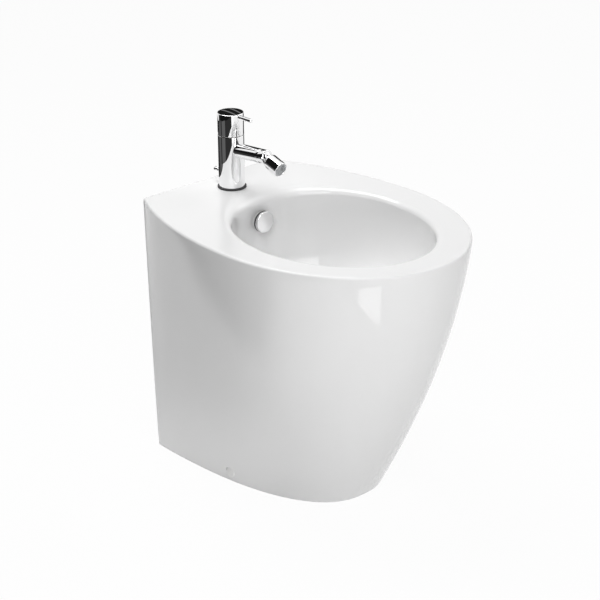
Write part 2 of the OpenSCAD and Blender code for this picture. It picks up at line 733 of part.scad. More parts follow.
module cartridge_stem() {
    color("goldenrod") at_mixer() difference() {
        union() {
            translate([0, 0, pivot_z - stem_arm]) sphere(r = stem_ball_r);
            translate([0, 0, pivot_z - stem_arm]) cylinder(r = 2.6, h = stem_arm - 5);
            translate([-stem_w / 2, -stem_w / 2, pivot_z - 6])
                cube([stem_w, stem_w, stem_top - pivot_z + 6]);
        }
        translate([-20, 0, pivot_z]) rotate([0, 90, 0]) cylinder(r = stem_pin_r + 0.08, h = 40);
    }
}
module cartridge_nut() {
    color("goldenrod") at_mixer() difference() {
        union() {
            translate([0, 0, shoulder_z]) cylinder(r = thread_r - 0.05, h = joint_h - shoulder_z - 0.3);
            translate([0, 0, joint_h - 1]) hexagon(2 * neck_out + 1.4, 3);
        }
        translate([0, 0, shoulder_z - 1]) cylinder(r = neck_out + 0.1, h = joint_h);
    }
}

// ---- handle ----
grub_r = 2;
grub_z = cap_z + 16;
boss_out = 7.5;
pin_z = cap_top - 4;                 // height of the lever pin's axis
pin_spigot_r = 2.5;
pin_depth = 10;

module handle_cap() {
    color("silver") at_mixer() difference() {
        union() {
            difference() {
                rotate_extrude() polygon(concat(
                    [[0, cap_z], [column_r - 0.4, cap_z], [column_r, cap_z + 0.4]],
                    round_points(column_r - 1, cap_top - 1, 1, 0, 90),
                    [[0, cap_top]]));
                translate([0, 0, cap_z - 1])
                    cylinder(r = column_r - cap_wall, h = cap_h - roof_t + 1);
            }
            translate([0, 0, cap_z + 13]) cylinder(r = boss_out, h = cap_h - 14);
        }
        translate([-stem_w / 2 - 0.05, -stem_w / 2 - 0.05, cap_z])
            cube([stem_w + 0.1, stem_w + 0.1, stem_top + 0.1 - cap_z]);
        translate([0, 0, pin_z]) rotate([90, 0, 0])
            translate([0, 0, column_r - pin_depth]) cylinder(r = pin_spigot_r + 0.02, h = 30);
        translate([0, 0, grub_z]) rotate([-90, 0, 0]) cylinder(r = grub_r + 0.02, h = 30);
        heel_relief();
    }
}
// The cap's heel is cut away behind its axis, so that it can tilt back over the column.
module heel_relief() {
    translate([-column_r - 1, 1, cap_z]) rotate([lift_angle + 3, 0, 0])
        translate([0, -5, -30]) cube([2 * column_r + 2, column_r + 15, 30]);
}
module lever_pin() {
    color("silver") at_mixer() translate([0, 0, pin_z]) rotate([90, 0, 0]) {
        translate([0, 0, column_r - pin_depth + 0.5]) cylinder(r = pin_spigot_r, h = pin_depth);
        translate([0, 0, column_r]) cylinder(r = lever_r, h = lever_reach - lever_r - column_r);
        translate([0, 0, lever_reach - lever_r]) sphere(r = lever_r);
    }
}
module grub_screw() {
    color("dimgray") at_mixer() translate([0, stem_w / 2 + 0.02, grub_z]) rotate([-90, 0, 0])
        difference() {
            cylinder(r = grub_r, h = boss_out - stem_w / 2 - 0.3);
            translate([0, 0, 1.8]) hexagon(2, 4);
        }
}

// ---- mixer's fixing under the ledge ----
pad_t = 2;
plate_t = 3;
plate_r = 25.5;
plate_slot = 13.5;                   // half width of the plate's open slot
stud_l = 101;

module horseshoe(z, h, hole) {
    at_mixer() difference() {
        translate([0, 0, z]) cylinder(r = plate_r, h = h);
        translate([-plate_slot, stud_y + 4, z - 1]) cube([2 * plate_slot, 2 * plate_r, h + 2]);
        translate([0, stud_y, z - 1]) cylinder(r = hole, h = h + 2);
    }
}
module fixing_pad() {
    color("black") horseshoe(-deck_t - pad_t, pad_t, stud_r + 0.5);
}
module fixing_plate() {
    color("silver") horseshoe(-deck_t - pad_t - plate_t, plate_t, stud_r + 0.3);
}
module fixing_stud() {
    color("goldenrod") at_mixer() translate([0, stud_y, web_z + web_t - 2.5 - stud_l])
        cylinder(r = stud_r, h = stud_l);
}
module fixing_nut() {
    color("goldenrod") at_mixer()
        translate([0, stud_y, -deck_t - pad_t - plate_t - 8]) difference() {
            hexagon(10, 8);
            translate([0, 0, -1]) cylinder(r = stud_r + 0.03, h = 10);
        }
}

// ---- pop-up linkage ----
arm_front = 30;                      // from the ball lever's pivot to the plug
rod_y = mixer_y + rod_off;
pivot_y = drain_y + arm_front;
arm_rear = rod_y - pivot_y;
lever_swing = knob_travel / arm_rear * 180 / PI;
lever_rest = -lever_swing / 2;
plug_travel = knob_travel * arm_front / arm_rear;
lever_rod_r = 2.5;
lever_ball_r = 7;
rod_end_z = lever_z + arm_rear * tan(lever_rest);
plug_rest = plug_travel / 2;
rod_over = 3.4;                      // the rod's top above the knob's pin
rod_foot = 5.2;                      // and its lower end above the lever
clamp_up = 16;
clamp_down = 6;
clamp_d = 10;                        // depth of the clamp, from front to back
clamp_screw_z = 11;                  // height of its screw above the lever
clamp_screw_r = 2;
cross_r = 1.6;

module at_lever() {
    translate([0, pivot_y, lever_z]) children();
}
module lift_rod() {
    top = deck_z + knob_h + rod_over;
    bottom = rod_end_z + rod_foot;
    color("silver") translate([0, rod_y, 0]) difference() {
        translate([0, 0, bottom]) cylinder(r = rod_r, h = top - bottom);
        translate([0, -5, deck_z + knob_h]) rotate([-90, 0, 0]) cylinder(r = cross_r + 0.02, h = 10);
    }
}
module lift_knob() {
    reach = 39.5;                    // from the mixer's axis to the knob's end
    head_r = 3.6;
    color("silver") translate([0, mixer_y, deck_z + knob_h]) rotate([-90, 0, 0]) {
        translate([0, 0, rod_off - 2]) cylinder(r = cross_r, h = 5);
        rotate_extrude() polygon(concat(
            [[0, rod_off + rod_r], [knob_pin_r, rod_off + rod_r], [knob_pin_r, reach - 6],
             [head_r, reach - 5]],
            round_points(head_r - 1.6, reach - 1.6, 1.6, 0, 90),
            [[0, reach]]));
    }
}
module rod_clamp() {
    color("silver") translate([0, rod_y, rod_end_z]) difference() {
        translate([-6, -clamp_d / 2, -clamp_down]) cube([12, clamp_d, clamp_up + clamp_down]);
        translate([0, 0, 5]) cylinder(r = rod_r + 0.03, h = 30);
        translate([0, -20, 0]) rotate([-90, 0, 0]) cylinder(r = lever_rod_r + 0.9, h = 40);
        translate([0, 0, clamp_screw_z]) rotate([-90, 0, 0])
            cylinder(r = clamp_screw_r + 0.02, h = clamp_d);
    }
}
module clamp_screw() {
    start = rod_r + 0.02;            // its tip bears on the rod
    head = clamp_d / 2 + 0.1;
    color("silver") translate([0, rod_y, rod_end_z + clamp_screw_z]) rotate([-90, 0, 0])
        difference() {
            union() {
                translate([0, 0, start]) cylinder(r = clamp_screw_r, h = head - start + 1);
                translate([0, 0, head]) cylinder(r = 3.4, h = 2.6);
            }
            translate([-5, -0.4, head + 1.5]) cube([10, 0.8, 3]);
        }
}
module ball_lever() {
    tail = 16;
    tip_over = 3.6;
    color("silver") at_lever() rotate([lever_rest, 0, 0]) {
        sphere(r = lever_ball_r);
        rotate([-90, 0, 0]) translate([0, 0, -arm_front - tip_over])
            cylinder(r = lever_rod_r, h = arm_front + tip_over + arm_rear + tail);
    }
}
module lever_seats() {
    r = lever_ball_r + 0.08;
    outer = port_bore_r - 0.1;
    color("white") at_lever() rotate([-90, 0, 0]) rotate_extrude() {
        polygon(concat([[outer, -2.5], [outer, -seat_back]],
                       arc_points(r, 0, -asin(seat_back / r), -asin(2.5 / r))));
        polygon(concat(arc_points(r, 0, asin(2.5 / r), asin(seat_back / r)),
                       [[4.6, seat_front], [outer, seat_front], [outer, 2.5]]));
    }
}
port_r = 11.5;                       // side port of the waste body
port_bore_r = 9.6;
seat_back = 5.3;
seat_front = 8;
module lever_nut() {
    color("silver") at_lever() rotate([-90, 0, 0]) difference() {
        translate([0, 0, 1]) hexagon(26, 10);
        cylinder(r = port_r + 0.05, h = seat_front + 0.1);
        cylinder(r = 5.2, h = 20);
    }
}

// ---- waste ----
gasket_z = basin_z - recess_t;       // floor of the flange's recess
flange_gasket_t = 1.2;
flange_z = gasket_z + flange_gasket_t;
flange_h = 3;
tube_in = tube_r - 2.9;
tube_z = lever_z + port_r + 5;       // lower end of the threaded tube
waste_gasket_t = 3;
body_z = boss_z - waste_gasket_t;    // top of the waste body
body_r = tube_r + 3;
body_flange_w = 10;                  // flange that clamps the gasket
body_flange_t = 3.5;
outlet_l = 14;                       // threaded outlet below the waste body
body_end = lever_z - port_r + 1.5 - outlet_l;
body_in = 17;
thread_out = 20;
branch_bore_r = 5.5;                 // bore from the side port into the waste

module at_drain(z = 0) {
    translate([0, drain_y, z]) children();
}
module flange_gasket() {
    color("gainsboro") at_drain(gasket_z) ring(waste_r - 1, drain_hole_r + 0.3, flange_gasket_t);
}
module waste_flange() {
    seat = flange_z + 1.2;           // ledge that takes the plug's seal
    color("silver") at_drain() difference() {
        rotate_extrude() polygon([
            [tube_in, tube_z], [tube_r, tube_z], [tube_r, flange_z], [waste_r, flange_z],
            [waste_r, flange_z + flange_h - 1], [waste_r - 1, flange_z + flange_h],
            [plug_r + 2.5, flange_z + flange_h], [plug_r + 0.7, seat], [tube_in, seat]]);
        for (turn = [0, 120, 240])
            rotate([0, 0, turn + 90]) translate([0, 0, duct_z]) rotate([0, 90, 0])
                cylinder(r = 4.5, h = 40);
    }
}
module waste_plug() {
    bottom = flange_z + 2.4 + plug_travel;
    fin_top = basin_z - 14 + plug_travel;
    eye_z = lever_z + plug_rest;
    color("silver") at_drain() difference() {
        union() {
            rotate_extrude() polygon(concat(
                [[0, bottom], [plug_r - 0.6, bottom], [plug_r, bottom + 0.6]],
                [for (i = [0:8]) let (u = 1 - i / 8) [plug_r * u, bottom + 1.2 + 2.6 * (1 - u * u)]]));
            translate([0, 0, eye_z]) cylinder(r = 3.5, h = bottom + 1 - eye_z);
            for (turn = [0, 90]) rotate([0, 0, turn])
                translate([-tube_in + 0.3, -0.8, fin_top - 20]) cube([2 * tube_in - 0.6, 1.6, 20]);
            translate([-5, -4, eye_z - 6]) cube([10, 8, 14]);
        }
        translate([0, -10, eye_z]) rotate([-90, 0, 0]) cylinder(r = lever_rod_r + 0.8, h = 20);
    }
}
module plug_seal() {
    color("black") at_drain(flange_z + 1.3 + plug_travel) ring(plug_r - 0.4, plug_r - 2.2, 1.1);
}
module waste_gasket() {
    color("dimgray") at_drain(body_z) ring(body_r + body_flange_w - 2, tube_r + 0.4, waste_gasket_t);
}
module waste_body() {
    color("silver") difference() {
        union() {
            at_drain() rotate_extrude() polygon([
                [0, body_end], [thread_out, body_end], [thread_out, body_end + outlet_l],
                [body_r, body_end + outlet_l], [body_r, body_z - body_flange_t],
                [body_r + body_flange_w, body_z - body_flange_t],
                [body_r + body_flange_w, body_z], [0, body_z]]);
            at_lever() rotate([-90, 0, 0]) translate([0, 0, -arm_front + body_in + 1])
                cylinder(r = port_r, h = arm_front - body_in - 1 + seat_front);
        }
        at_drain(tube_z - 0.2) cylinder(r = tube_r + 0.05, h = body_z - tube_z + 1);
        at_drain(body_end + outlet_l + 2) cylinder(r = body_in, h = tube_z - body_end - outlet_l);
        at_drain(body_end - 1) cylinder(r = tail_r + 0.15, h = outlet_l + 4);
        at_lever() rotate([-90, 0, 0]) {
            translate([0, 0, -arm_front]) cylinder(r = branch_bore_r, h = arm_front);
            translate([0, 0, -seat_back - 0.1]) cylinder(r = port_bore_r, h = seat_back + 2 * seat_front);
        }
    }
}
tail_gasket_t = 2.3;
nut_lip = 3;
nut_grip = 12;                       // length of thread inside the nut
nut_wall = 3.5;
tail_grip = 15.5;                    // length of the tailpiece inside the waste body
nut_z = body_end - 0.1 - tail_gasket_t - nut_lip;
module tail_gasket() {
    color("dimgray") at_drain(nut_z + nut_lip) ring(thread_out - 0.4, tail_r + 0.1, tail_gasket_t);
}
module tail_nut() {
    color("silver") at_drain(nut_z) difference() {
        hexagon(2 * (thread_out + nut_wall), nut_lip + tail_gasket_t + nut_grip);
        translate([0, 0, -1]) cylinder(r = tail_r + 0.3, h = nut_lip + 2);
        translate([0, 0, nut_lip]) cylinder(r = thread_out + 0.05, h = tail_gasket_t + nut_grip + 1);
    }
}
module tailpiece() {
    top = body_end + tail_grip;
    color("silver") at_drain() rotate_extrude() polygon([
        [tail_r - 1.5, top - tail_l], [tail_r, top - tail_l], [tail_r, nut_z - 0.5],
        [tail_r - 0.1, nut_z], [tail_r - 0.1, top], [tail_r - 1.5, top]]);
}

ceramic_body();
overflow_duct();
overflow_cover();
overflow_bush();
floor_brackets();
side_screws();
screw_caps();
base_gasket();
base_flange();
mixer_column();
spout();
collar();
ball_seat();
nozzle_ball();
nozzle_body();
strainer_washer();
strainer();
cartridge_seals();
cartridge_shell();
fixed_disc();
moving_disc();
cartridge_carrier();
stem_pin();
cartridge_stem();
cartridge_nut();
handle_cap();
lever_pin();
grub_screw();
fixing_pad();
fixing_plate();
fixing_stud();
fixing_nut();
lift_rod();
lift_knob();
rod_clamp();
clamp_screw();
ball_lever();
lever_seats();
lever_nut();
flange_gasket();
waste_flange();
waste_plug();
plug_seal();
waste_gasket();
waste_body();
tail_gasket();
tail_nut();
tailpiece();
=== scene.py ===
"""The looks of a floor standing bidet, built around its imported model."""
import json
import math
from types import SimpleNamespace

import bmesh
import bpy
import numpy as np
from bpy.props import FloatProperty, FloatVectorProperty, IntProperty, PointerProperty
from mathutils import Matrix, Vector


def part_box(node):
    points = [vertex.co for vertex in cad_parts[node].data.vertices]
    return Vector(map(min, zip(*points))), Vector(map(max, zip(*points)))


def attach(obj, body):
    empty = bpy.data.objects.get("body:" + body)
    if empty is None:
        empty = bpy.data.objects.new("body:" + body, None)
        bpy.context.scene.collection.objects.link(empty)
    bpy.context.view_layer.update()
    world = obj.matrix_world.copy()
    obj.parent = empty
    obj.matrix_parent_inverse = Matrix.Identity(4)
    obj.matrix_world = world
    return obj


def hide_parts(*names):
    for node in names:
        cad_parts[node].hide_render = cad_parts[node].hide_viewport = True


bl_info = {
    "name": "Floor standing bidet",
    "version": (1, 0, 0),
    "blender": (4, 5, 0),
    "location": "3D View > Sidebar > Bidet",
    "description": "Builds the looks of a floor standing bidet around its packed model",
    "category": "Add Mesh",
}

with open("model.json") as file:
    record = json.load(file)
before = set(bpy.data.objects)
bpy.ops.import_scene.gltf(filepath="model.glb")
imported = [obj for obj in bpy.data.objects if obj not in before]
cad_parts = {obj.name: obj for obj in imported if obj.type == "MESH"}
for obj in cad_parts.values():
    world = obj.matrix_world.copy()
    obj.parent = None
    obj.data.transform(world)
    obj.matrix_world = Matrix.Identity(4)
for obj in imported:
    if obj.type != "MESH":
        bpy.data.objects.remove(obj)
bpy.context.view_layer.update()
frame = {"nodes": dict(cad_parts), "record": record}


# ---- sizes and colours ----
def low(node):
    """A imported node's lowest corner, in metres."""
    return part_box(node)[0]


def high(node):
    """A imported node's highest corner, in metres."""
    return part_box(node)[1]


def length(name, default, description):
    """A length, in metres."""
    return FloatProperty(name=name, default=default, description=description, unit="LENGTH")


def ratio(name, default, description):
    """A plain number."""
    return FloatProperty(name=name, default=default, description=description)


def angle(name, degrees, description):
    """An angle, given in degrees and kept in radians."""
    return FloatProperty(name=name, default=math.radians(degrees), description=description,
                         subtype="ANGLE")


def colour(name, default, description):
    """A colour from black to white, as linear light."""
    return FloatVectorProperty(name=name, default=default, description=description,
                               subtype="COLOR", min=0, max=1)


class CastingSizes(bpy.types.PropertyGroup):
    """Sizes of the ceramic casting."""
    rim_width: length("Rim width", high("ceramic_body").x - low("ceramic_body").x,
                      "Width of the rim, side to side")
    rim_depth: length("Rim depth", high("ceramic_body").y - low("ceramic_body").y,
                      "Depth of the rim, wall to front")
    rim_height: length("Rim height", high("ceramic_body").z, "Height of the rim above the floor")
    rim_wide_at: length("Rim widest at", 0.255, "From the wall to the rim's widest point")
    rim_back_width: length("Rim width at the wall", 0.256, "Width of the rim at the wall")
    foot_width: length("Foot width", 0.247, "Width of the foot on the floor")
    foot_depth: length("Foot depth", 0.347, "Depth of the foot on the floor")
    foot_back_width: length("Foot width at the wall", 0.242, "Width of the foot at the wall")
    foot_wide_at: length("Foot widest at", 0.052, "From the wall to the foot's widest point")
    foot_square: ratio("Foot squareness", 2.45, "Squareness of the foot's front curve")
    corner_radius: length("Corner radius", 0.008, "Radius of the upright back corners")
    edge_radius: length("Edge radius", 0.0035, "Radius between the flank and the rim's top")
    loft_height: length("Loft height", 0.414, "Height where the flank reaches the rim's outline")
    foot_round: length("Foot round", 0.002, "Softened edge on the floor")
    wall: length("Wall", 0.011, "Thickness of the casting's walls")
    ledge: length("Ledge", 0.014, "Thickness of the ledge that carries the mixer")
    ledge_depth: length("Ledge depth", 0.119, "From the wall to the basin's back wall")
    rim_side: length("Rim at the side", 0.056, "From the outer edge to the basin, at the side")
    rim_front: length("Rim at the front", 0.054, "From the outer edge to the basin, in front")
    basin_wide_at: length("Basin widest at", 0.275, "From the wall to the basin's widest point")
    basin_depth: length("Basin depth", 0.145, "Depth of the basin below the rim")
    basin_full: ratio("Basin fullness", 2.2, "Fullness of the basin's hollow")
    lip_radius: length("Lip radius", 0.010, "Radius of the lip at its front and sides")
    lip_back: length("Lip width at the back", 0.030, "Width of the lip in front of the mixer")
    lip_dip: length("Lip dip", 0.004, "How much deeper the lip falls in front of the mixer")
    rim_fall: length("Rim fall", 0.002, "Fall of the rim from its outer edge to the lip")
    drain_at: length("Drain at", 0.225, "From the wall to the drain's axis")
    drain_hole: length("Drain hole", 0.0225, "Radius of the drain hole")
    recess_radius: length("Recess radius", 0.0335, "Radius of the recess for the flange")
    recess_depth: length("Recess depth", 0.004, "Depth of the recess for the flange")
    boss_radius: length("Boss radius", 0.046, "Radius of the boss under the drain")
    boss_height: length("Boss height", 0.038, "Height of the boss under the drain")
    chamber_radius: length("Chamber radius", 0.032, "Radius of the overflow's chamber")
    overflow_depth: length("Overflow depth", 0.038, "Depth of the overflow below the rim")
    overflow_hole: length("Overflow hole", 0.011, "Radius of the overflow hole")
    duct_radius: length("Duct radius", 0.008, "Radius of the cast overflow duct")
    fixing_at: length("Fixing at", 0.18, "From the wall to the side fixing holes")
    fixing_height: length("Fixing height", 0.018, "Height of the side fixing holes")
    fixing_hole: length("Fixing hole", 0.006, "Radius of the side fixing holes")
    mixer_at: length("Mixer at", 0.0565, "From the wall to the mixer's axis")
    mixer_hole: length("Mixer hole", 0.0175, "Radius of the mixer's hole in the ledge")
    service_width: length("Service opening width", 0.15, "Width of the opening in the back")
    service_height: length("Service opening height", 0.3, "Height of that opening's crown")
    detail: IntProperty(name="Detail", default=3, min=1, max=4,
                        description="Fineness of the casting's mesh")


class FittingSizes(bpy.types.PropertyGroup):
    """Sizes of the mixer, the overflow cover and the waste."""
    column_radius: length("Column radius", high("mixer_column").x, "Radius of the mixer's column")
    column_top: length("Column top", high("mixer_column").z, "Height of the column's top")
    base_radius: length("Base radius", high("base_flange").x, "Radius of the mixer's base ring")
    cap_low: length("Cap bottom", low("handle_cap").z, "Height of the handle cap's lower edge")
    cap_high: length("Cap top", high("handle_cap").z, "Height of the handle cap's top")
    cap_dome: length("Cap dome", 0.0007, "Rise of the cap's slightly domed top")
    cap_wall: length("Cap wall", 0.0021, "Thickness of the cap's wall")
    lever_radius: length("Lever radius", 0.003, "Radius of the lever pin")
    lever_reach: length("Lever reach", 0.048, "Reach of the lever pin from the mixer's axis")
    lift: angle("Lift", 16, "How far the handle lifts")
    spout_radius: length("Spout radius", 0.011, "Radius of the spout and its collar")
    spout_height: length("Spout height", 0.061, "Height of the spout's axis above the ledge")
    spout_length: length("Spout length", 0.071, "Length of the spout from the mixer's axis")
    spout_rise: angle("Spout slope", 4.5, "Upward slope of the spout")
    nozzle_drop: angle("Nozzle slope", 19, "Downward slope of the nozzle at rest")
    nozzle_radius: length("Nozzle radius", 0.0116, "Radius of the nozzle")
    nozzle_length: length("Nozzle length", 0.0365, "From the ball's centre to the nozzle's face")
    ball_radius: length("Ball radius", 0.0089, "Radius of the nozzle's ball")
    cover_radius: length("Cover radius", high("overflow_cover").x, "Radius of the overflow cover")
    cover_stand: length("Cover stand", 0.0145, "From the basin's wall to the cover's front")
    flange_radius: length("Flange radius", high("waste_flange").x, "Radius of the waste's flange")
    plug_radius: length("Plug radius", 0.020, "Radius of the plug's cap")
    knob_reach: length("Knob reach", 0.0395, "From the mixer's axis to the rear knob's end")


class FinishColours(bpy.types.PropertyGroup):
    """Colours of the materials."""
    glaze: colour("Glaze", (0.865, 0.865, 0.865), "Fired white glaze")
    clay: colour("Clay", (0.74, 0.72, 0.68), "Bare fired clay inside the casting")
    chrome: colour("Chrome", (0.88, 0.88, 0.885), "Polished chrome")
    steel: colour("Steel", (0.62, 0.62, 0.61), "Brushed steel")
    brass: colour("Brass", (0.78, 0.60, 0.32), "Turned brass")
    white_plastic: colour("White plastic", (0.90, 0.90, 0.89), "Moulded white plastic")
    grey_plastic: colour("Grey plastic", (0.42, 0.43, 0.44), "Moulded grey plastic")
    ivory_plastic: colour("Ivory plastic", (0.76, 0.71, 0.58), "Moulded ivory plastic")
    disc_ceramic: colour("Disc ceramic", (0.80, 0.79, 0.77), "Lapped ceramic of the discs")
    black_rubber: colour("Black rubber", (0.025, 0.025, 0.027), "Black rubber seals")
    grey_rubber: colour("Grey rubber", (0.16, 0.16, 0.165), "Grey rubber gaskets")
    white_rubber: colour("White rubber", (0.72, 0.72, 0.70), "White rubber gasket")


class StudioSettings(bpy.types.PropertyGroup):
    """Camera and light."""
    distance: length("Distance", 3.005, "From the camera to the point it looks at")
    azimuth: angle("Azimuth", -42.36, "Turn of the camera round the object")
    elevation: angle("Elevation", 23.39, "Height of the camera over the horizon")
    roll: angle("Roll", -0.55, "Roll of the camera about its view")
    focal: ratio("Focal length", 119.6, "Focal length in millimetres, on a 36 mm sensor")
    ambient: ratio("Ambient", 0.06, "Strength of the light from all round")
    key: ratio("Key lamp", 21.0, "Power of the lamp at the front left, in watts")
    rear: ratio("Rear lamp", 36.5, "Power of the lamp overhead behind, in watts")
    right: ratio("Right lamp", 8.2, "Power of the lamp at the right, in watts")
    front: ratio("Front lamp", 10.5, "Power of the small lamp in front, in watts")
    low: ratio("Low lamp", 7.5, "Power of the lamp low in front, in watts")


def in_mm(group):
    """A group's values, with its lengths in millimetres."""
    values = SimpleNamespace()
    for prop in group.bl_rna.properties:
        if prop.identifier in ("rna_type", "name"):
            continue
        value = getattr(group, prop.identifier)
        if prop.type == "FLOAT" and prop.unit == "LENGTH":
            value *= 1000
        setattr(values, prop.identifier, value)
    return values


# ---- shader maths ----
class Value:
    """What a node's socket gives; sums and products of numbers add Math nodes."""

    def __init__(self, paint, made, output):
        self.paint = paint
        self.made = made
        self.socket = made.outputs[output]

    def output(self, name):
        """Another output of the same node."""
        return Value(self.paint, self.made, name)

    def math(self, operation, *sides):
        """A Math node of this operation."""
        return self.paint.node("ShaderNodeMath", {"operation": operation}, dict(enumerate(sides)))

    def at_least(self, other):
        """The larger of the two."""
        return self.math("MAXIMUM", self, other)

    def __add__(self, other):
        return self.math("ADD", self, other)

    def __radd__(self, other):
        return self.math("ADD", other, self)

    def __sub__(self, other):
        return self.math("SUBTRACT", self, other)

    def __rsub__(self, other):
        return self.math("SUBTRACT", other, self)

    def __mul__(self, other):
        return self.math("MULTIPLY", self, other)

    def __rmul__(self, other):
        return self.math("MULTIPLY", other, self)


class Paint:
    """A material, or the world, in the making."""

    def __init__(self, name, kind="materials"):
        self.owner = getattr(bpy.data, kind).new(name)
        self.owner.use_nodes = True
        self.tree = self.owner.node_tree
        self.surface = next(node for node in self.tree.nodes if len(node.outputs))
        self.end = next(node for node in self.tree.nodes if not len(node.outputs))
        self.place = None

    def node(self, kind, settings=None, inputs=None, output=0):
        """Adds a node: its settings first, then the values or links of its sockets."""
        made = self.tree.nodes.new(kind)
        for name, value in (settings or {}).items():
            setattr(made, name, value)
        for name, value in (inputs or {}).items():
            self.feed(made.inputs[name], value)
        return Value(self, made, output)

    def feed(self, socket, value):
        """Links a node's value to a socket, or sets the socket to a plain one."""
        if isinstance(value, Value):
            self.tree.links.new(value.socket, socket)
        else:
            socket.default_value = value

    def finish(self, **sockets):
        """Feeds the surface's sockets; the names' underscores stand for spaces."""
        for name, value in sockets.items():
            self.feed(self.surface.inputs[name.replace("_", " ")], value)
        return self.owner

    def show(self, share, first, second):
        """Shows the first shader where the share is 0 and the second where it is 1."""
        mixed = self.node("ShaderNodeMixShader", {}, {0: share, 1: first, 2: second})
        self.feed(self.end.inputs["Surface"], mixed)

    def glow(self, strength):
        """Plain white light."""
        return self.node("ShaderNodeEmission", {}, {"Color": (1, 1, 1, 1), "Strength": strength})

    def where(self):
        """The place on the object, in metres."""
        if self.place is None:
            self.place = self.node("ShaderNodeTexCoord", output="Object")
        return self.place

    def along(self, axis):
        """The place along one axis, in metres."""
        return self.node("ShaderNodeSeparateXYZ", {}, {"Vector": self.where()}, axis)

    def step(self, value, clear, full):
        """A soft step, 0 at the first of two values and 1 at the second."""
        return self.node("ShaderNodeMapRange", {"interpolation_type": "SMOOTHSTEP"}, {
            "Value": value, "From Min": clear, "From Max": full})

    def noise(self, size, detail=2, stretch=(1, 1, 1), roughness=0.5):
        """Even noise from 0 to 1 whose marks are about size metres across."""
        place = self.node("ShaderNodeMapping", {}, {"Vector": self.where(), "Scale": stretch})
        return self.node("ShaderNodeTexNoise", {}, {
            "Vector": place, "Scale": 1 / size, "Detail": detail, "Roughness": roughness})

    def between(self, mask, first, second):
        """The first colour where the mask is 0, the second where it is 1."""
        return self.node("ShaderNodeMix", {"data_type": "RGBA"},
                         {"Factor": mask, "A": (*first, 1), "B": (*second, 1)}, "Result")

    def bump(self, height, depth, strength=1.0):
        """Relief of a depth in metres."""
        return self.node("ShaderNodeBump", {}, {
            "Height": height, "Distance": depth, "Strength": strength}, "Normal")


def shade(base, factor):
    """A colour made lighter or darker."""
    return tuple(min(1.0, c * factor) for c in base)


SATIN_FROM, SATIN_FULL = 0.0045, 0.0025  # below the rim, where the glaze turns satin


def glaze(name, colours, rim):
    """Deep gloss over white, softer on the level rim, with a slow cloud in its tone and a
    faint ripple."""
    paint = Paint(name)
    cloud = paint.noise(0.09, 3)
    ripple = paint.noise(0.022, 2)
    pinholes = paint.noise(0.0011, 1)
    level = paint.step(paint.along("Z"), rim - SATIN_FROM, rim - SATIN_FULL)
    return paint.finish(
        Base_Color=paint.between(cloud, shade(colours.glaze, 0.992), shade(colours.glaze, 1.008)),
        Roughness=0.02 + 0.02 * cloud + 0.012 * pinholes + 0.2 * level,
        Normal=paint.bump(ripple, 0.00018, 0.35),
        IOR=1.52,
        Coat_Weight=0.0)


def clay(name, colours):
    """Bare fired clay: matt, chalky, with grog specks and brush marks."""
    paint = Paint(name)
    grain = paint.noise(0.0009, 4)
    marks = paint.noise(0.02, 3, (1, 1, 0.25))
    return paint.finish(
        Base_Color=paint.between(marks * 0.6 + grain * 0.4, shade(colours.clay, 0.9),
                                 shade(colours.clay, 1.08)),
        Roughness=0.72 + 0.2 * grain,
        Normal=paint.bump(grain * 0.6 + marks * 0.4, 0.0003, 0.6))


def polished(name, base, roughness, smudge):
    """Plated metal: near a mirror, with faint wiping marks."""
    paint = Paint(name)
    wipes = paint.noise(0.004, 3, (1, 0.3, 1))
    blur = paint.noise(0.03, 2)
    return paint.finish(
        Base_Color=paint.between(blur, shade(base, 0.985), shade(base, 1.01)),
        Roughness=roughness + smudge * wipes * blur,
        Metallic=1.0)


def brushed(name, base, roughness):
    """Turned or brushed metal: fine lines across its axis."""
    paint = Paint(name)
    lines = paint.noise(0.0008, 3, (0.15, 0.15, 4))
    patina = paint.noise(0.012, 3)
    return paint.finish(
        Base_Color=paint.between(patina, shade(base, 0.88), shade(base, 1.06)),
        Roughness=roughness + 0.16 * lines,
        Normal=paint.bump(lines, 0.00004, 0.5),
        Metallic=1.0)


def moulded(name, base, roughness):
    """Moulded plastic: an even tone with a fine satin grain."""
    paint = Paint(name)
    grain = paint.noise(0.0006, 2)
    flow = paint.noise(0.015, 2)
    return paint.finish(
        Base_Color=paint.between(flow, shade(base, 0.96), shade(base, 1.03)),
        Roughness=roughness + 0.1 * grain,
        Normal=paint.bump(grain, 0.00003, 0.5),
        IOR=1.49)


def rubber(name, base):
    """Rubber: dull, dusted a little on its high spots."""
    paint = Paint(name)
    grain = paint.noise(0.0007, 3)
    dust = paint.noise(0.008, 3)
    return paint.finish(
        Base_Color=paint.between(dust * grain, shade(base, 0.8), shade(base, 1.5)),
        Roughness=0.6 + 0.25 * grain,
        Normal=paint.bump(grain, 0.00005, 0.6))


def make_paints(colours):
    """One finish for each material slot of the record, and a duller chrome."""
    return {
        "glaze": glaze("white_glaze", colours, high("ceramic_body").z),
        "clay": clay("bare_clay", colours),
        "chrome": polished("chrome", colours.chrome, 0.003, 0.0015),
        "satin_chrome": polished("satin_chrome", shade(colours.chrome, 0.82), 0.12, 0.03),
        "steel": brushed("brushed_steel", colours.steel, 0.24),
        "brass": brushed("turned_brass", colours.brass, 0.22),
        "white_plastic": moulded("white_plastic", colours.white_plastic, 0.22),
        "grey_plastic": moulded("grey_plastic", colours.grey_plastic, 0.34),
        "ivory_plastic": moulded("ivory_plastic", colours.ivory_plastic, 0.3),
        "disc_ceramic": moulded("lapped_ceramic", colours.disc_ceramic, 0.12),
        "black_rubber": rubber("black_rubber", colours.black_rubber),
        "grey_rubber": rubber("grey_rubber", colours.grey_rubber),
        "white_rubber": rubber("white_rubber", colours.white_rubber),
    }


PAINTS = {}


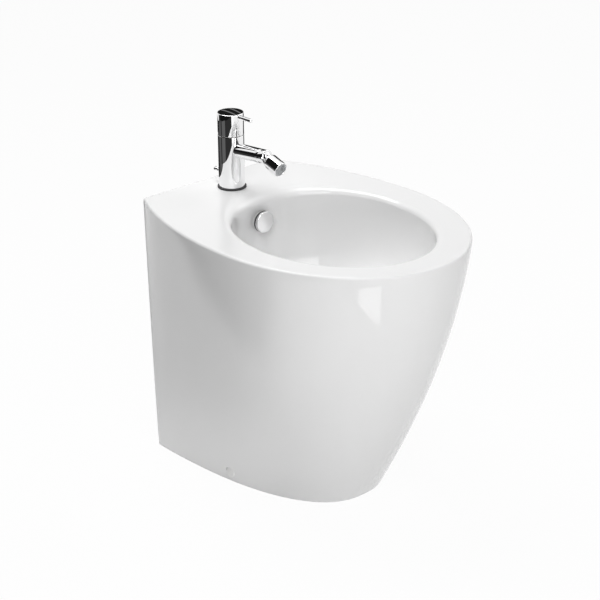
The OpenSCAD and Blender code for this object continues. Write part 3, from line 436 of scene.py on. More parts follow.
def paint_of(slot):
    """The finish of a slot, made once for the whole object."""
    if not PAINTS:
        PAINTS.update(make_paints(bpy.context.scene.bidet_colours))
    return PAINTS[slot]


# ---- mesh code, in millimetres ----
SHARP = math.radians(34)  # edges bent more than this stay crisp
RUN_ON = 3.0  # how far a bore's cutter runs on past its ends
QUARTER = math.pi / 2


def quarter(count, first=0):
    """Angles from 0 to a right angle in equal steps."""
    return [QUARTER * i / count for i in range(first, count + 1)]


def part_way(start, end, share):
    """The value at a share of the way."""
    return start + (end - start) * share


def new_mesh(name, points, faces, paints=(), strips=None):
    """A mesh object from points in millimetres; strips gives each face's material."""
    mesh = bpy.data.meshes.new(name)
    mesh.from_pydata((np.asarray(points, float) * 0.001).tolist(), [], faces)
    for paint in paints:
        mesh.materials.append(paint)
    if strips is not None:
        mesh.polygons.foreach_set("material_index", np.asarray(strips, np.int32))
    mesh.validate()
    piece = bpy.data.objects.new(name, mesh)
    bpy.context.scene.collection.objects.link(piece)
    return piece


def loft(name, rings, paints=(), closed=False, strips=None):
    """A skin over rings of points, closed on itself or with a face over each end."""
    rings = np.array(rings, float)
    levels, count = rings.shape[:2]
    spots = np.arange(count)
    rows = np.arange(levels if closed else levels - 1)[:, None] * count
    after, beside = (rows + count) % (levels * count), (spots + 1) % count
    faces = np.stack([rows + spots, rows + beside, after + beside, after + spots], -1)
    faces = faces.reshape(-1, 4).tolist()
    if not closed:
        faces += [spots[::-1].tolist(), (after[-1] + spots).tolist()]
    return new_mesh(name, rings.reshape(-1, 3), faces, paints, strips)


def soften(corners, closed=True, steps=6):
    """A profile whose corners, given as (radius, height, rounding), are rounded."""
    points = []
    count = len(corners)
    for i, (r, z, rounding) in enumerate(corners):
        here = np.array((r, z), float)
        if rounding == 0 or not closed and i in (0, count - 1):
            points.append(here)
            continue
        back = np.array(corners[i - 1][:2], float) - here
        ahead = np.array(corners[(i + 1) % count][:2], float) - here
        size_back, size_ahead = np.linalg.norm(back), np.linalg.norm(ahead)
        back, ahead = back / size_back, ahead / size_ahead
        half = math.acos(max(-1, min(1, back @ ahead))) / 2
        reach = min(rounding / math.tan(half), size_back * 0.49, size_ahead * 0.49)
        bend = reach * math.tan(half)
        middle = (back + ahead) / np.linalg.norm(back + ahead)
        centre = here + middle * bend / math.sin(half)
        start, end = here + back * reach - centre, here + ahead * reach - centre
        swing = math.acos(max(-1, min(1, start @ end / (bend * bend))))
        for share in (step / steps for step in range(steps + 1)):
            points.append(centre + (start * math.sin((1 - share) * swing)
                                    + end * math.sin(share * swing)) / math.sin(swing))
    return points


def lathe(profile, turns):
    """Points and faces of a closed turned form. The profile runs from axis to axis, or
    round a ring that stays clear of the axis, with the solid on its left."""
    points, rows = [], []
    around = [(math.cos(a), math.sin(a)) for a in 2 * np.pi * np.arange(turns) / turns]
    for r, z in profile:
        start = len(points)
        if r < 1e-6:
            points.append((0, 0, z))
            rows.append([start] * turns)
        else:
            points.extend((r * c, r * s, z) for c, s in around)
            rows.append(list(range(start, start + turns)))
    if profile[0][0] > 1e-6:
        rows.append(rows[0])
    faces = []
    for lower, upper in zip(rows, rows[1:]):
        for i in range(turns):
            k = (i + 1) % turns
            ends = [lower[i], lower[k], upper[k], upper[i]]
            face = [v for spot, v in enumerate(ends) if v != ends[spot - 1]]
            if len(face) > 2:
                faces.append(face)
    return np.array(points, float), faces


def at(x, y, z, tilt=0.0):
    """A place in millimetres, turned about the X axis."""
    return Matrix.Translation((x, y, z)) @ Matrix.Rotation(tilt, 4, "X")


def placed(points, place):
    """Points moved by a matrix in millimetres."""
    return points @ np.array(place.to_3x3()).T + np.array(place.translation)


def outward(piece):
    """Turns all faces of a closed mesh outwards."""
    work = bmesh.new()
    work.from_mesh(piece.data)
    bmesh.ops.recalc_face_normals(work, faces=work.faces)
    work.to_mesh(piece.data)
    work.free()


def block(name, lows, highs, place):
    """A plain block, to be cut from a piece or joined to it."""
    (x0, y0, z0), (x1, y1, z1) = lows, highs
    points = np.array([(x, y, z) for z in (z0, z1) for y in (y0, y1) for x in (x0, x1)], float)
    faces = [(0, 2, 3, 1), (4, 5, 7, 6), (0, 1, 5, 4), (2, 6, 7, 3), (0, 4, 6, 2), (1, 3, 7, 5)]
    return new_mesh(name, placed(points, place), faces)


def bore(name, radius, start, end, place, flares=(0, 0), turns=64, paints=()):
    """A cutter for a round hole along its place's Z axis, wider at its rounded mouths."""
    profile = [(0, start - RUN_ON), (radius + flares[0], start - RUN_ON)]
    profile += mouth(radius, start, flares[0], 1)
    profile += mouth(radius, end, flares[1], -1)[::-1]
    profile += [(radius + flares[1], end + RUN_ON), (0, end + RUN_ON)]
    points, faces = lathe(profile, turns)
    return new_mesh(name, placed(points, place), faces, paints)


def mouth(radius, z, flare, inwards):
    """A hole's profile at its mouth, rounded to the face it leaves."""
    if not flare:
        return [(radius, z)]
    return [(radius + flare * (1 - math.sin(a)), z + inwards * flare * (1 - math.cos(a)))
            for a in quarter(5)]


def carve(piece, cutters, operation="DIFFERENCE"):
    """Cuts the cutters from a piece, or joins them to it, and removes them. One without a
    finish takes the piece's."""
    for cutter in cutters:
        outward(cutter)
        if not cutter.data.materials:
            cutter.data.materials.append(piece.data.materials[0])
        change = piece.modifiers.new("carve", "BOOLEAN")
        change.operation = operation
        change.solver = "EXACT"
        change.material_mode = "TRANSFER"
        change.object = cutter
    bpy.context.view_layer.update()
    seen = piece.evaluated_get(bpy.context.evaluated_depsgraph_get())
    carved = bpy.data.meshes.new_from_object(seen)
    piece.modifiers.clear()
    old, piece.data = piece.data, carved
    bpy.data.meshes.remove(old)
    for cutter in cutters:
        bpy.data.meshes.remove(cutter.data)


def finish_piece(piece, body, slot, *nodes):
    """Shades a piece, sets it on its body and hides the imported nodes it stands for."""
    piece.data.shade_smooth()
    piece.data.set_sharp_from_angle(angle=SHARP)
    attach(piece, body)
    if nodes:
        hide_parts(*nodes)


def turned(name, place, corners, body, slot, nodes=(), turns=128, steps=6, joins=(), cuts=(),
           paint=None):
    """A turned piece from a profile with rounded corners, with others joined to it or cut
    from it."""
    points, faces = lathe(soften(corners, corners[0][0] > 0, steps), turns)
    piece = new_mesh(name, placed(points, place), faces, [paint_of(paint or slot)])
    outward(piece)
    if joins:
        carve(piece, joins, "UNION")
    if cuts:
        carve(piece, cuts)
    finish_piece(piece, body, slot, *nodes)
    return piece


# ---- the casting's shape ----
FLANK_RISE = (0.49, 1.58)  # how the widths grow from the foot to the rim
TIP_RISE = (0.35, 1.83)  # how the front tip moves out
SWELL_RISE = (0, 2.5)  # how the widest point and the squareness change
BOWL_FOOT = 30.0  # radius of the bowl's level middle
STEM_FOOT = 8.0  # from the recess down to the overflow's chamber
CHAMBER_HEIGHT = 16.0
DUCT_CASING = 6.0  # thickness of the duct's casing
DUCT_DROP = 20.0  # from the basin's floor down to the duct's level run
CAP_SEAT_RADIUS, CAP_SEAT_DEPTH = 9.0, 1.2


def rise(height, straight, power):
    """Share of the way from foot to rim at a relative height."""
    return straight * height + (1 - straight) * (1 - (1 - height) ** power)


class CastingShape:
    """Rings of the casting, in millimetres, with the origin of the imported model."""

    def __init__(self, sizes):
        s = self.s = sizes
        self.back = self.corner = 4 * s.detail
        self.flank = 36 * s.detail
        self.half = self.back + self.corner + self.flank
        turn = np.radians(180 - 180 * np.arange(2 * self.half) / self.half)
        self.sin, self.cos = np.sin(turn), np.cos(turn)
        self.rear = s.basin_wide_at - s.ledge_depth
        across = s.rim_width / 2 - s.rim_side
        along = np.where(self.cos > 0, s.rim_depth - s.rim_front - s.basin_wide_at, self.rear)
        self.basin_r = 1 / np.sqrt((self.sin / across) ** 2 + (self.cos / along) ** 2)
        backward = np.maximum(0, -self.cos)
        self.lip = part_way(s.lip_radius, s.lip_back, backward ** 6)
        self.wall_top = s.lip_radius + s.lip_dip * backward ** 6
        self.fall = s.rim_fall * (1 - backward ** 0.5)
        self.wall_y = s.rim_depth / 2
        self.straight_top = s.rim_height - s.edge_radius

    def outline(self, z, inset):
        """One plan outline, the right side first and then its mirror image."""
        s = self.s
        h = min(1.0, z / s.loft_height)
        flank, swell = rise(h, *FLANK_RISE), rise(h, *SWELL_RISE)
        half_w = part_way(s.foot_width, s.rim_width, flank) / 2 - inset
        back_w = part_way(s.foot_back_width, s.rim_back_width, flank) / 2 - inset
        tip = part_way(s.foot_depth, s.rim_depth, rise(h, *TIP_RISE)) - inset
        wide = part_way(s.foot_wide_at, s.rim_wide_at, swell)
        square = part_way(s.foot_square, 2, swell)

        def side(v):
            ahead = np.clip((v - wide) / (tip - wide), 0, 1)
            front = half_w * np.maximum(0, 1 - ahead ** square) ** (1 / square)
            share = (back_w / half_w) ** 2
            behind = half_w * np.sqrt(np.maximum(0, 1 - (1 - share) * ((wide - v) / wide) ** 2))
            return np.where(v >= wide, front, behind)

        round_r = max(1.0, s.corner_radius - inset)
        bend_v = inset + round_r
        corner_x = float(side(np.array(bend_v))) - round_r
        straight = [(corner_x * i / self.back, inset) for i in range(self.back)]
        swing = np.radians(90 - 90 * np.arange(self.corner) / self.corner)
        bend = np.stack([corner_x + round_r * np.cos(swing), bend_v - round_r * np.sin(swing)], 1)
        v = bend_v + (tip - inset - round_r) * np.sin(
            np.pi / 2 * np.arange(self.flank + 1) / self.flank)
        x = side(v)
        x[-1] = 0
        right = np.vstack([straight, bend, np.stack([x, v], 1)])
        ring = np.stack([right[:, 0], self.wall_y - right[:, 1], np.full(len(right), z)], 1)
        return np.vstack([ring, ring[-2:0:-1] * (-1, 1, 1)])

    def polar(self, r, centre, depth):
        """A ring about an axis at a distance from the wall, at a depth below the rim."""
        return np.stack([r * self.sin, self.wall_y - centre - r * self.cos,
                         self.s.rim_height - depth + 0 * self.sin], 1)

    def circles(self, corners):
        """Rings round the drain's axis, from a profile with rounded corners."""
        return [self.polar(r + 0 * self.sin, self.s.drain_at, self.s.rim_height - z)
                for r, z in soften(corners, False, 4)[1:]]

    def lip_ring(self, turn):
        """One ring of the rounded lip, from the rim down to the bowl's wall."""
        return self.polar(self.basin_r + self.lip * (1 - math.sin(turn)), self.s.basin_wide_at,
                          part_way(self.fall, self.wall_top, 1 - math.cos(turn)))

    def bowl_shares(self, turn):
        """Share of the way down the bowl and of its width, and the level's centre."""
        s = self.s
        sink = math.sin(turn) ** (2 / s.basin_full)
        shrink = max(0.0, math.cos(turn)) ** (2 / s.basin_full)
        return sink, shrink, part_way(s.basin_wide_at, s.drain_at, sink ** 2)

    def bowl_ring(self, turn, top, grow=0.0, middle=BOWL_FOOT, wider=0.0):
        """One level of the bowl; a shell outside it has grow above 0."""
        sink, shrink, centre = self.bowl_shares(turn)
        r = middle + (self.basin_r + grow - middle) * shrink + wider * (1 - shrink) ** 8
        return self.polar(r, centre, part_way(top, self.s.basin_depth + grow, sink))

    def back_wall(self, depth):
        """The basin's back wall at a depth below the rim."""
        s = self.s
        top = s.lip_radius + s.lip_dip
        turn = math.asin(((depth - top) / (s.basin_depth - top)) ** (s.basin_full / 2))
        shrink, centre = self.bowl_shares(turn)[1:]
        return self.wall_y - (centre - BOWL_FOOT - (self.rear - BOWL_FOOT) * shrink)

    def flank_x(self, v, z):
        """Half width of the casting at a distance from the wall and a height."""
        ring = self.outline(z, 0)[self.back + self.corner:self.half + 1]
        return float(np.interp(v, self.wall_y - ring[:, 1], ring[:, 0]))

    def fixing(self, side, x=0.0):
        """The place of a side fixing, with Z outwards, and how far out its cap's seat is."""
        s = self.s
        place = Matrix.Translation((side * x, self.wall_y - s.fixing_at, s.fixing_height)) \
            @ Matrix.Rotation(side * math.pi / 2, 4, "Y")
        return place, self.flank_x(s.fixing_at, s.fixing_height) - CAP_SEAT_DEPTH

    def rings(self):
        """All rings round the wall's section, and how many of them are glazed."""
        s = self.s
        d = s.detail
        basin_z = s.rim_height - s.basin_depth
        floor_z, boss_z = basin_z - s.recess_depth, basin_z - s.boss_height
        chamber_z = floor_z - STEM_FOOT

        def walls(top, inset, steps, order):
            return [self.outline(s.foot_round + (top - s.foot_round) * i / steps, inset)
                    for i in order]

        def across(edge, end):
            return [edge + (end - edge) * i / (2 * d) for i in range(1, 2 * d)]

        rings = [self.outline(s.foot_round * (1 - math.cos(a)), s.foot_round * (1 - math.sin(a)))
                 for a in quarter(2 * d)]
        rings += walls(self.straight_top, 0, 20 * d, range(1, 20 * d + 1))
        rings += [self.outline(self.straight_top + s.edge_radius * math.sin(a),
                               s.edge_radius * (1 - math.cos(a))) for a in quarter(3 * d, 1)]
        rings += across(rings[-1], self.lip_ring(0))
        rings += [self.lip_ring(a) for a in quarter(4 * d)]
        wider = s.recess_radius + 0.8 - BOWL_FOOT
        rings += [self.bowl_ring(a, self.wall_top, wider=wider) for a in quarter(16 * d, 1)]
        rings += self.circles([
            (s.recess_radius + 3, basin_z, 0), (s.recess_radius, basin_z, 0.8),
            (s.recess_radius, floor_z, 0.5), (s.drain_hole, floor_z, 0.6),
            (s.drain_hole, chamber_z, 0.4), (s.chamber_radius, chamber_z, 2),
            (s.chamber_radius, chamber_z - CHAMBER_HEIGHT, 2),
            (s.drain_hole, chamber_z - CHAMBER_HEIGHT, 0.4), (s.drain_hole, boss_z, 0.6)])
        glazed = len(rings)
        rings += self.circles([(s.drain_hole, boss_z, 0), (s.boss_radius, boss_z, 2),
                               (s.boss_radius, basin_z - s.wall - 4, 0)])
        rings += [self.bowl_ring(a, s.ledge, s.wall, s.boss_radius)
                  for a in quarter(6 * d)[-2::-1]]
        rings += across(rings[-1], self.outline(s.rim_height - s.ledge, s.wall))
        rings += walls(s.rim_height - s.ledge, s.wall, 8 * d, range(8 * d, -1, -1))
        rings.append(self.outline(0, s.wall + s.foot_round))
        return np.array(rings), glazed


def casing(shape, duct_y, duct_z, paints):
    """The casing of the overflow duct, down behind the basin and forward to the boss."""
    s = shape.s
    r, top = s.duct_radius + DUCT_CASING, s.rim_height - s.ledge / 2
    reach = duct_y - (shape.wall_y - s.drain_at + s.boss_radius / 2)
    runs = (("casing_down", at(0, duct_y, 0), [(0, duct_z - r + 0.01)] + [
                (r * math.cos(a), duct_z + r * math.sin(a))
                for a in np.radians([-75, -60, -45, -30, -15, 0])] + [(r, top), (0, top)]),
            ("casing_forward", at(0, duct_y, duct_z, math.pi / 2),
             [(0, 0), (r, 0), (r, reach), (0, reach)]))
    pieces = []
    for name, place, profile in runs:
        points, faces = lathe(profile, 48)
        pieces.append(new_mesh(name, placed(points, place), faces, paints))
    return pieces


def service_arch(shape):
    """The cutter of the arch in the casting's back, with softened edges on both faces."""
    s = shape.s
    half, soft, beyond, low_z, foot_z = s.service_width / 2, 3.0, 20, 20, -5
    spring = s.service_height - half
    inner, outer = shape.wall_y - s.wall, shape.wall_y
    turns = np.radians([0, 22.5, 45, 67.5, 90])
    stations = [(inner - beyond, soft)]
    stations += [(inner + soft * (1 - math.cos(a)), soft * (1 - math.sin(a))) for a in turns]
    stations += [(outer - soft * (1 - math.cos(a)), soft * (1 - math.sin(a)))
                 for a in turns[::-1]] + [(outer + beyond, soft)]
    rows = []
    for y, grow in stations:
        r = half + grow
        jamb = np.linspace(low_z, spring - 20, 6)
        rows.append([(-r, y, foot_z)] + [(-r, y, z) for z in jamb]
                    + [(-r * math.cos(a), y, spring + r * math.sin(a))
                       for a in np.radians(np.linspace(0, 180, 49))]
                    + [(r, y, z) for z in jamb[::-1]] + [(r, y, foot_z)])
    return loft("arch", rows)


def mixer_place(sizes, z=0.0, tilt=0.0):
    """The mixer's axis at a height above the ledge."""
    return at(0, sizes.rim_depth / 2 - sizes.mixer_at, sizes.rim_height + z, tilt)


def build_casting(sizes):
    """Casting with its duct's casing, and its holes, duct and service arch cut out."""
    shape = CastingShape(sizes)
    bare = [paint_of("clay")]
    rings, glazed = shape.rings()
    strips = np.repeat((np.arange(len(rings)) >= glazed).astype(np.int32), rings.shape[1])
    piece = loft("casting", rings, [paint_of("glaze")] + bare, True, strips)
    r, wall_front = sizes.duct_radius, shape.back_wall(sizes.overflow_depth)
    duct_y = wall_front + sizes.wall + r
    duct_z = sizes.rim_height - sizes.basin_depth - DUCT_DROP
    duct_top = sizes.rim_height - sizes.overflow_depth
    drain_y = shape.wall_y - sizes.drain_at
    carve(piece, casing(shape, duct_y, duct_z, bare), "UNION")
    cutters = [
        bore("duct_down", r, duct_z - r / 2 + RUN_ON, duct_top + r - RUN_ON, at(0, duct_y, 0),
             paints=bare),
        bore("duct_forward", r, drain_y + sizes.drain_hole + 2, duct_y + r / 2 - RUN_ON,
             at(0, 0, duct_z, -math.pi / 2), paints=bare),
        bore("overflow", sizes.overflow_hole, -duct_y, -wall_front + 0.4,
             at(0, 0, duct_top, math.pi / 2), (0, 1.2)),
        bore("mixer_hole", sizes.mixer_hole, -sizes.ledge, 0, mixer_place(sizes), (0, 1.0)),
        service_arch(shape)]
    for side in (-1, 1):
        out, seat_x = shape.fixing(side)
        cutters += [bore("fixing", sizes.fixing_hole, seat_x - 24, seat_x, out),
                    bore("seat", CAP_SEAT_RADIUS, seat_x + RUN_ON, seat_x + 9, out)]
    carve(piece, cutters)
    finish_piece(piece, "bidet", "glaze", "ceramic_body", "overflow_duct")


# ---- the mixer ----
FOOT_SINK = 0.9  # how far the column's foot sits below the base ring's top
SPIGOT_ROOM = 0.7  # between the spigot under the column and the hole in the ledge
SPIGOT_WALL = 2.3
CELL_FLOOR, CELL_TOP, CELL_STEP = 57.0, 74.0, 1.6  # the cartridge's cell in the column
CELL_WALL = 3.6
KNOB_RADIUS, KNOB_ROD, KNOB_TRAVEL, SLOT_RADIUS = 3.6, 1.6, 26.0, 3.2
ROOF_DEPTH, SOCKET_DEPTH, PIN_DEPTH, GRUB_HEIGHT = 8, 13, 4, 16  # inside the cap
STEM_HALF = 3.6
PIN_RADIUS, GRUB_RADIUS, BORE_ROOM = 2.5, 2.0, 0.02
BALL_CENTRE = 7.0  # from the spout's end to the ball's centre
SOCKET_DEEP, WATERWAY, SPOUT_ROOT = 6.3, 5.5, 7.5
SCRIBE = 0.03  # between the spout's foot and the column
COLLAR_LIP = 4.5
NECK, NECK_BORE, NECK_END = 4.2, 2.8, 18.0
HUB, NOZZLE_WALL, STRAINER_SEAT = 9.8, 1.5, 22.4
SIEVE_PITCH, SIEVE_HOLE, SIEVE_PLATE = 2.3, 0.7, 1.4


def levels(node, base=0.0):
    """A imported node's lowest and highest level above a base, in millimetres."""
    return [corner.z * 1000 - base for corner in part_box(node)]


def spout_axis(fit, rim, along=0.0):
    """A place along the spout's axis, measured from the mixer's axis."""
    return mixer_place(rim, fit.spout_height, math.pi / 2 - fit.spout_rise) \
        @ Matrix.Translation((0, 0, along))


def build_column(fit, rim):
    """Column with its hollow foot, cartridge cell and slot for the rear knob."""
    place = mixer_place(rim)
    r, top = fit.column_radius, fit.column_top - rim.rim_height
    ring_low, ring_top = levels("base_flange", rim.rim_height)
    base = ring_top - FOOT_SINK
    spigot = rim.mixer_hole - SPIGOT_ROOM
    hollow = spigot - SPIGOT_WALL
    cell, step = r - CELL_WALL, r - CELL_WALL - CELL_STEP
    knob_z = levels("lift_knob", rim.rim_height)[1] - KNOB_RADIUS
    slot = [[((SLOT_RADIUS + grow) * math.cos(a), y, z + (SLOT_RADIUS + grow) * math.sin(a))
             for z, first in ((knob_z + KNOB_TRAVEL, 0), (knob_z, 180))
             for a in np.radians(np.linspace(first, first + 180, 17))]
            for y, grow in ((hollow - 3, 0), (r - 1.2, 0), (r - 0.7, 0.15), (r - 0.25, 0.55),
                            (r + 6, 0.55))]
    turned("column", place, [
        (0, 49, 0), (hollow, 49, 0.5), (hollow, -4, 0.3), (spigot, -4, 0.5), (spigot, base, 0),
        (r, base, 0.25), (r, top, 0.45), (cell, top, 0.3), (cell, CELL_TOP, 0),
        (step, CELL_TOP, 0), (step, CELL_FLOOR, 0.3), (0, CELL_FLOOR, 0)],
        "bidet", "chrome", ["mixer_column"], 160,
        cuts=[loft("slot", placed(np.array(slot), place))])
    r, inner = fit.base_radius, spigot + 0.1
    # The base ring is given black rubber. It is partly a real rubber gasket and partly painted
    # shade for the contact shadow under the mixer's base.
    turned("base_ring", place, [
        (inner, ring_low, 0), (r - 0.3, ring_low, 0.15), (r, ring_low + 0.3, 0.1),
        (r, base, 0.25), (inner, base, 0)], "bidet", "black_rubber", ["base_flange"], 160)


def build_cap(fit, rim):
    """Hollow cap with a slightly domed top, a boss for the stem and its heel cut away."""
    place = mixer_place(rim)
    r, bottom, top = fit.column_radius, fit.cap_low - rim.rim_height, fit.cap_high - rim.rim_height
    inner, roof, boss = r - fit.cap_wall, top - ROOF_DEPTH, 7.5
    socket = bottom + SOCKET_DEPTH
    pin = mixer_place(rim, top - PIN_DEPTH, math.pi / 2)
    grub = mixer_place(rim, bottom + GRUB_HEIGHT, -math.pi / 2)
    stem_low, stem_high = (c.x * 1000 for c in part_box("cartridge_stem"))
    half = max(STEM_HALF, min(-stem_low, stem_high)) + 0.05
    heel = Matrix.Translation((-r - 1, 1, bottom)) @ Matrix.Rotation(
        fit.lift + math.radians(3), 4, "X") @ Matrix.Translation((0, -5, -30))
    dome = [(r * i / 6, top - fit.cap_dome * (i / 6) ** 2, 0) for i in range(6)]
    turned("handle_cap", place, dome + [
        (r, top - fit.cap_dome, 1.0), (r, bottom, 0.45), (inner, bottom, 0.3), (inner, roof, 1),
        (boss, roof, 0.8), (boss, socket, 0.4), (0, socket, 0)],
        "handle", "chrome", ["handle_cap"], 160, cuts=[
            block("stem_socket", (-half, -half, bottom + 2), (half, half, roof - 0.9), place),
            bore("pin_hole", PIN_RADIUS + BORE_ROOM, r - 10, r + 4, pin),
            bore("grub_hole", GRUB_RADIUS + BORE_ROOM, 3, r + 4, grub, (0, 0.3)),
            block("heel", (0, 0, 0), (2 * r + 2, r + 15, 30), place @ heel)])
    turned("lever", pin, [
        (0, r - 9.5, 0), (PIN_RADIUS, r - 9.5, 0.3), (PIN_RADIUS, r - 0.4, 0),
        (fit.lever_radius, r - 0.1, 0.25), (fit.lever_radius, fit.lever_reach, 2.6),
        (0, fit.lever_reach, 0)], "handle", "chrome", ["lever_pin"], 64, 10)


def build_spout(fit, rim):
    """Spout, scribed to the column, with its socket for the ball joint's collar."""
    turns = 128
    reach, r = fit.spout_length, fit.spout_radius
    socket = r - 0.85
    angles = 2 * np.pi * np.arange(turns) / turns
    around = np.stack([np.cos(angles), np.sin(angles)], 1)

    def scribed(radius):
        """Where a line along the spout meets the column, for each line round it."""
        side, rising = radius * around[:, 0], radius * around[:, 1]
        flush = np.sqrt((fit.column_radius + SCRIBE) ** 2 - side ** 2)
        return (flush + rising * math.sin(fit.spout_rise)) / math.cos(fit.spout_rise)

    foot, root = scribed(r), fit.column_radius - 4.2
    rows = [(WATERWAY, root), (SPOUT_ROOT, root), (SPOUT_ROOT, scribed(SPOUT_ROOT)),
            (r - 0.25, scribed(r - 0.25)), (r, foot + 0.25)]
    rows += [(r, foot + 0.25 + (reach - 0.35 - foot - 0.25) * i / 12) for i in range(1, 13)]
    rows += [(r - 0.1, reach - 0.1), (r - 0.35, reach), (socket, reach),
             (socket, reach - SOCKET_DEEP), (WATERWAY, reach - SOCKET_DEEP)]
    rings = np.array([np.column_stack([radius * around, np.zeros(turns) + along])
                      for radius, along in rows])
    piece = loft("spout", placed(rings, spout_axis(fit, rim)), [paint_of("chrome")], True)
    outward(piece)
    finish_piece(piece, "bidet", "chrome", "spout")

    ball, front = fit.ball_radius + 0.08, BALL_CENTRE + COLLAR_LIP
    inside = [(ball * math.cos(a), BALL_CENTRE + ball * math.sin(a), 0)
              for a in np.linspace(math.asin(COLLAR_LIP / ball), 0, 10)]
    back, thread = 0.3 - SOCKET_DEEP, socket - 0.05
    turned("collar", spout_axis(fit, rim, reach), [
        (ball + 0.15, back, 0), (thread, back, 0.2), (thread, 0, 0), (r - 0.4, 0.05, 0),
        (r, 0.45, 0.15), (r, front, 1.4)] + inside, "bidet", "chrome", ["collar"])


def build_nozzle(fit, rim):
    """Ball with its neck, the nozzle's shell and the perforated strainer."""
    place = spout_axis(fit, rim, fit.spout_length + BALL_CENTRE) \
        @ Matrix.Rotation(fit.spout_rise + fit.nozzle_drop, 4, "X")
    ball = fit.ball_radius
    arc = [(ball * math.sin(a), -ball * math.cos(a), 0) for a in np.linspace(
        math.asin(NECK_BORE / ball), math.pi - math.asin(NECK / ball), 40)]
    turned("ball", place, arc + [(NECK, NECK_END - 0.5, 0.3), (NECK_BORE, NECK_END - 0.5, 0)],
           "nozzle", "chrome", ["nozzle_ball"], 96)

    r, end, neck = fit.nozzle_radius, fit.nozzle_length, NECK + 0.03
    inner = r - NOZZLE_WALL
    ledge = inner - 1.9
    turned("nozzle", place, [
        (neck, HUB, 0.2), (r, HUB, 5), (r, end, 0.6), (inner, end, 0.45),
        (inner, STRAINER_SEAT, 0), (ledge, STRAINER_SEAT, 0.2), (ledge, NECK_END, 0),
        (neck, NECK_END, 0)], "nozzle", "chrome", ["nozzle_body"], 128, 10)

    face, sieve, back = end - 0.7, inner - 0.05, STRAINER_SEAT + 1.6
    plate, skirt = face - SIEVE_PLATE, sieve - 1.2
    holes = [place @ Matrix.Translation((SIEVE_PITCH * row * math.cos(a),
                                         SIEVE_PITCH * row * math.sin(a), 0))
             for row in range(4) for a in 2 * np.pi * np.arange(max(1, 6 * row)) / max(1, 6 * row)]
    turned("strainer", place, [
        (0, face, 0), (sieve - 1.6, face, 0), (sieve - 1.3, face - 0.35, 0.2),
        (sieve - 1.0, face, 0.2), (sieve, face, 0.35), (sieve, back, 0.2), (skirt, back, 0.2),
        (skirt, plate, 0), (0, plate, 0)], "nozzle", "grey_plastic", ["strainer"], 96,
        cuts=[bore("hole", SIEVE_HOLE, plate, face, hole, (0, 0.2), 20) for hole in holes])


def build_knob(fit, rim):
    """The rear knob that lifts the pop-up's rod."""
    knob_z = levels("lift_knob", rim.rim_height)[1] - KNOB_RADIUS
    start = low("lift_knob").y * 1000 - (rim.rim_depth / 2 - rim.mixer_at)
    eye, end, neck = start + 4.5, fit.knob_reach, KNOB_RADIUS - 1
    turned("knob", mixer_place(rim, knob_z, -math.pi / 2), [
        (0, start, 0), (KNOB_ROD, start, 0.2), (KNOB_ROD, eye, 0), (neck, eye, 0.25),
        (neck, end - 6.2, 0.8), (KNOB_RADIUS, end - 5, 0.5), (KNOB_RADIUS, end, 1.6),
        (0, end, 0)], "knob", "chrome", ["lift_knob"], 64)


# ---- the basin's fittings ----
COVER_THICK, COVER_RING, COVER_STEM_WALL = 5.0, 3.0, 1.7
BUSH_TOP = 2.3  # where the overflow's bush ends, in front of the basin's wall
FLANGE_LIFT, FLANGE_THICK, TUBE_RADIUS, TUBE_WALL = 1.2, 3.0, 20.5, 2.9
PLUG_DOME, PLUG_THICK, PLUG_STEM, FIN_HALF = 2.6, 3.8, 3.5, 0.8
FIN_DROP, FIN_HEIGHT, EYE_HEIGHT, EYE_RADIUS = 8.8, 20, 6, 3.3


def spun(place, turn):
    """A place turned about its own axis."""
    return place @ Matrix.Rotation(turn, 4, "Z")


def build_cover(fit, rim):
    """Round overflow cover on its hollow, slotted stem, with a black ring behind it that is partly
    a dark rubber ring and partly painted shade for the gap behind the cover.
    """
    place = at(0, CastingShape(rim).back_wall(rim.overflow_depth),
               rim.rim_height - rim.overflow_depth, math.pi / 2)
    r, front = fit.cover_radius, fit.cover_stand
    back = front - COVER_THICK
    ring_back, roof = back - COVER_RING, back - 0.2
    stem = rim.overflow_hole - 2.4
    hollow = stem - COVER_STEM_WALL
    dome = [(r * i / 8, front - 0.5 * (i / 8) ** 2, 0) for i in range(8)]
    turned("overflow_disc", place, dome + [
        (r, front - 0.5, 1.2), (r, back, 0.4), (stem, back, 0.4), (stem, -6, 0.3),
        (hollow, -6, 0.3), (hollow, roof, 0), (0, roof, 0)],
        "bidet", "chrome", ["overflow_cover"], paint="satin_chrome",
        cuts=[block("slot", (-4, -r, BUSH_TOP + 0.8), (4, r, ring_back - 0.5), spun(place, turn))
              for turn in (0, math.pi / 2)])
    # The black ring is partly a real rubber ring and partly painted shade: it stands for the
    # shadowed gap between the cover and the basin's wall.
    inner, edge, near = stem + 0.03, r - 0.2, back - 0.03
    turned("overflow_ring", place, [
        (inner, ring_back, 0.2), (edge, ring_back, 0.5), (edge, near, 0.1), (inner, near, 0)],
        "bidet", "black_rubber")


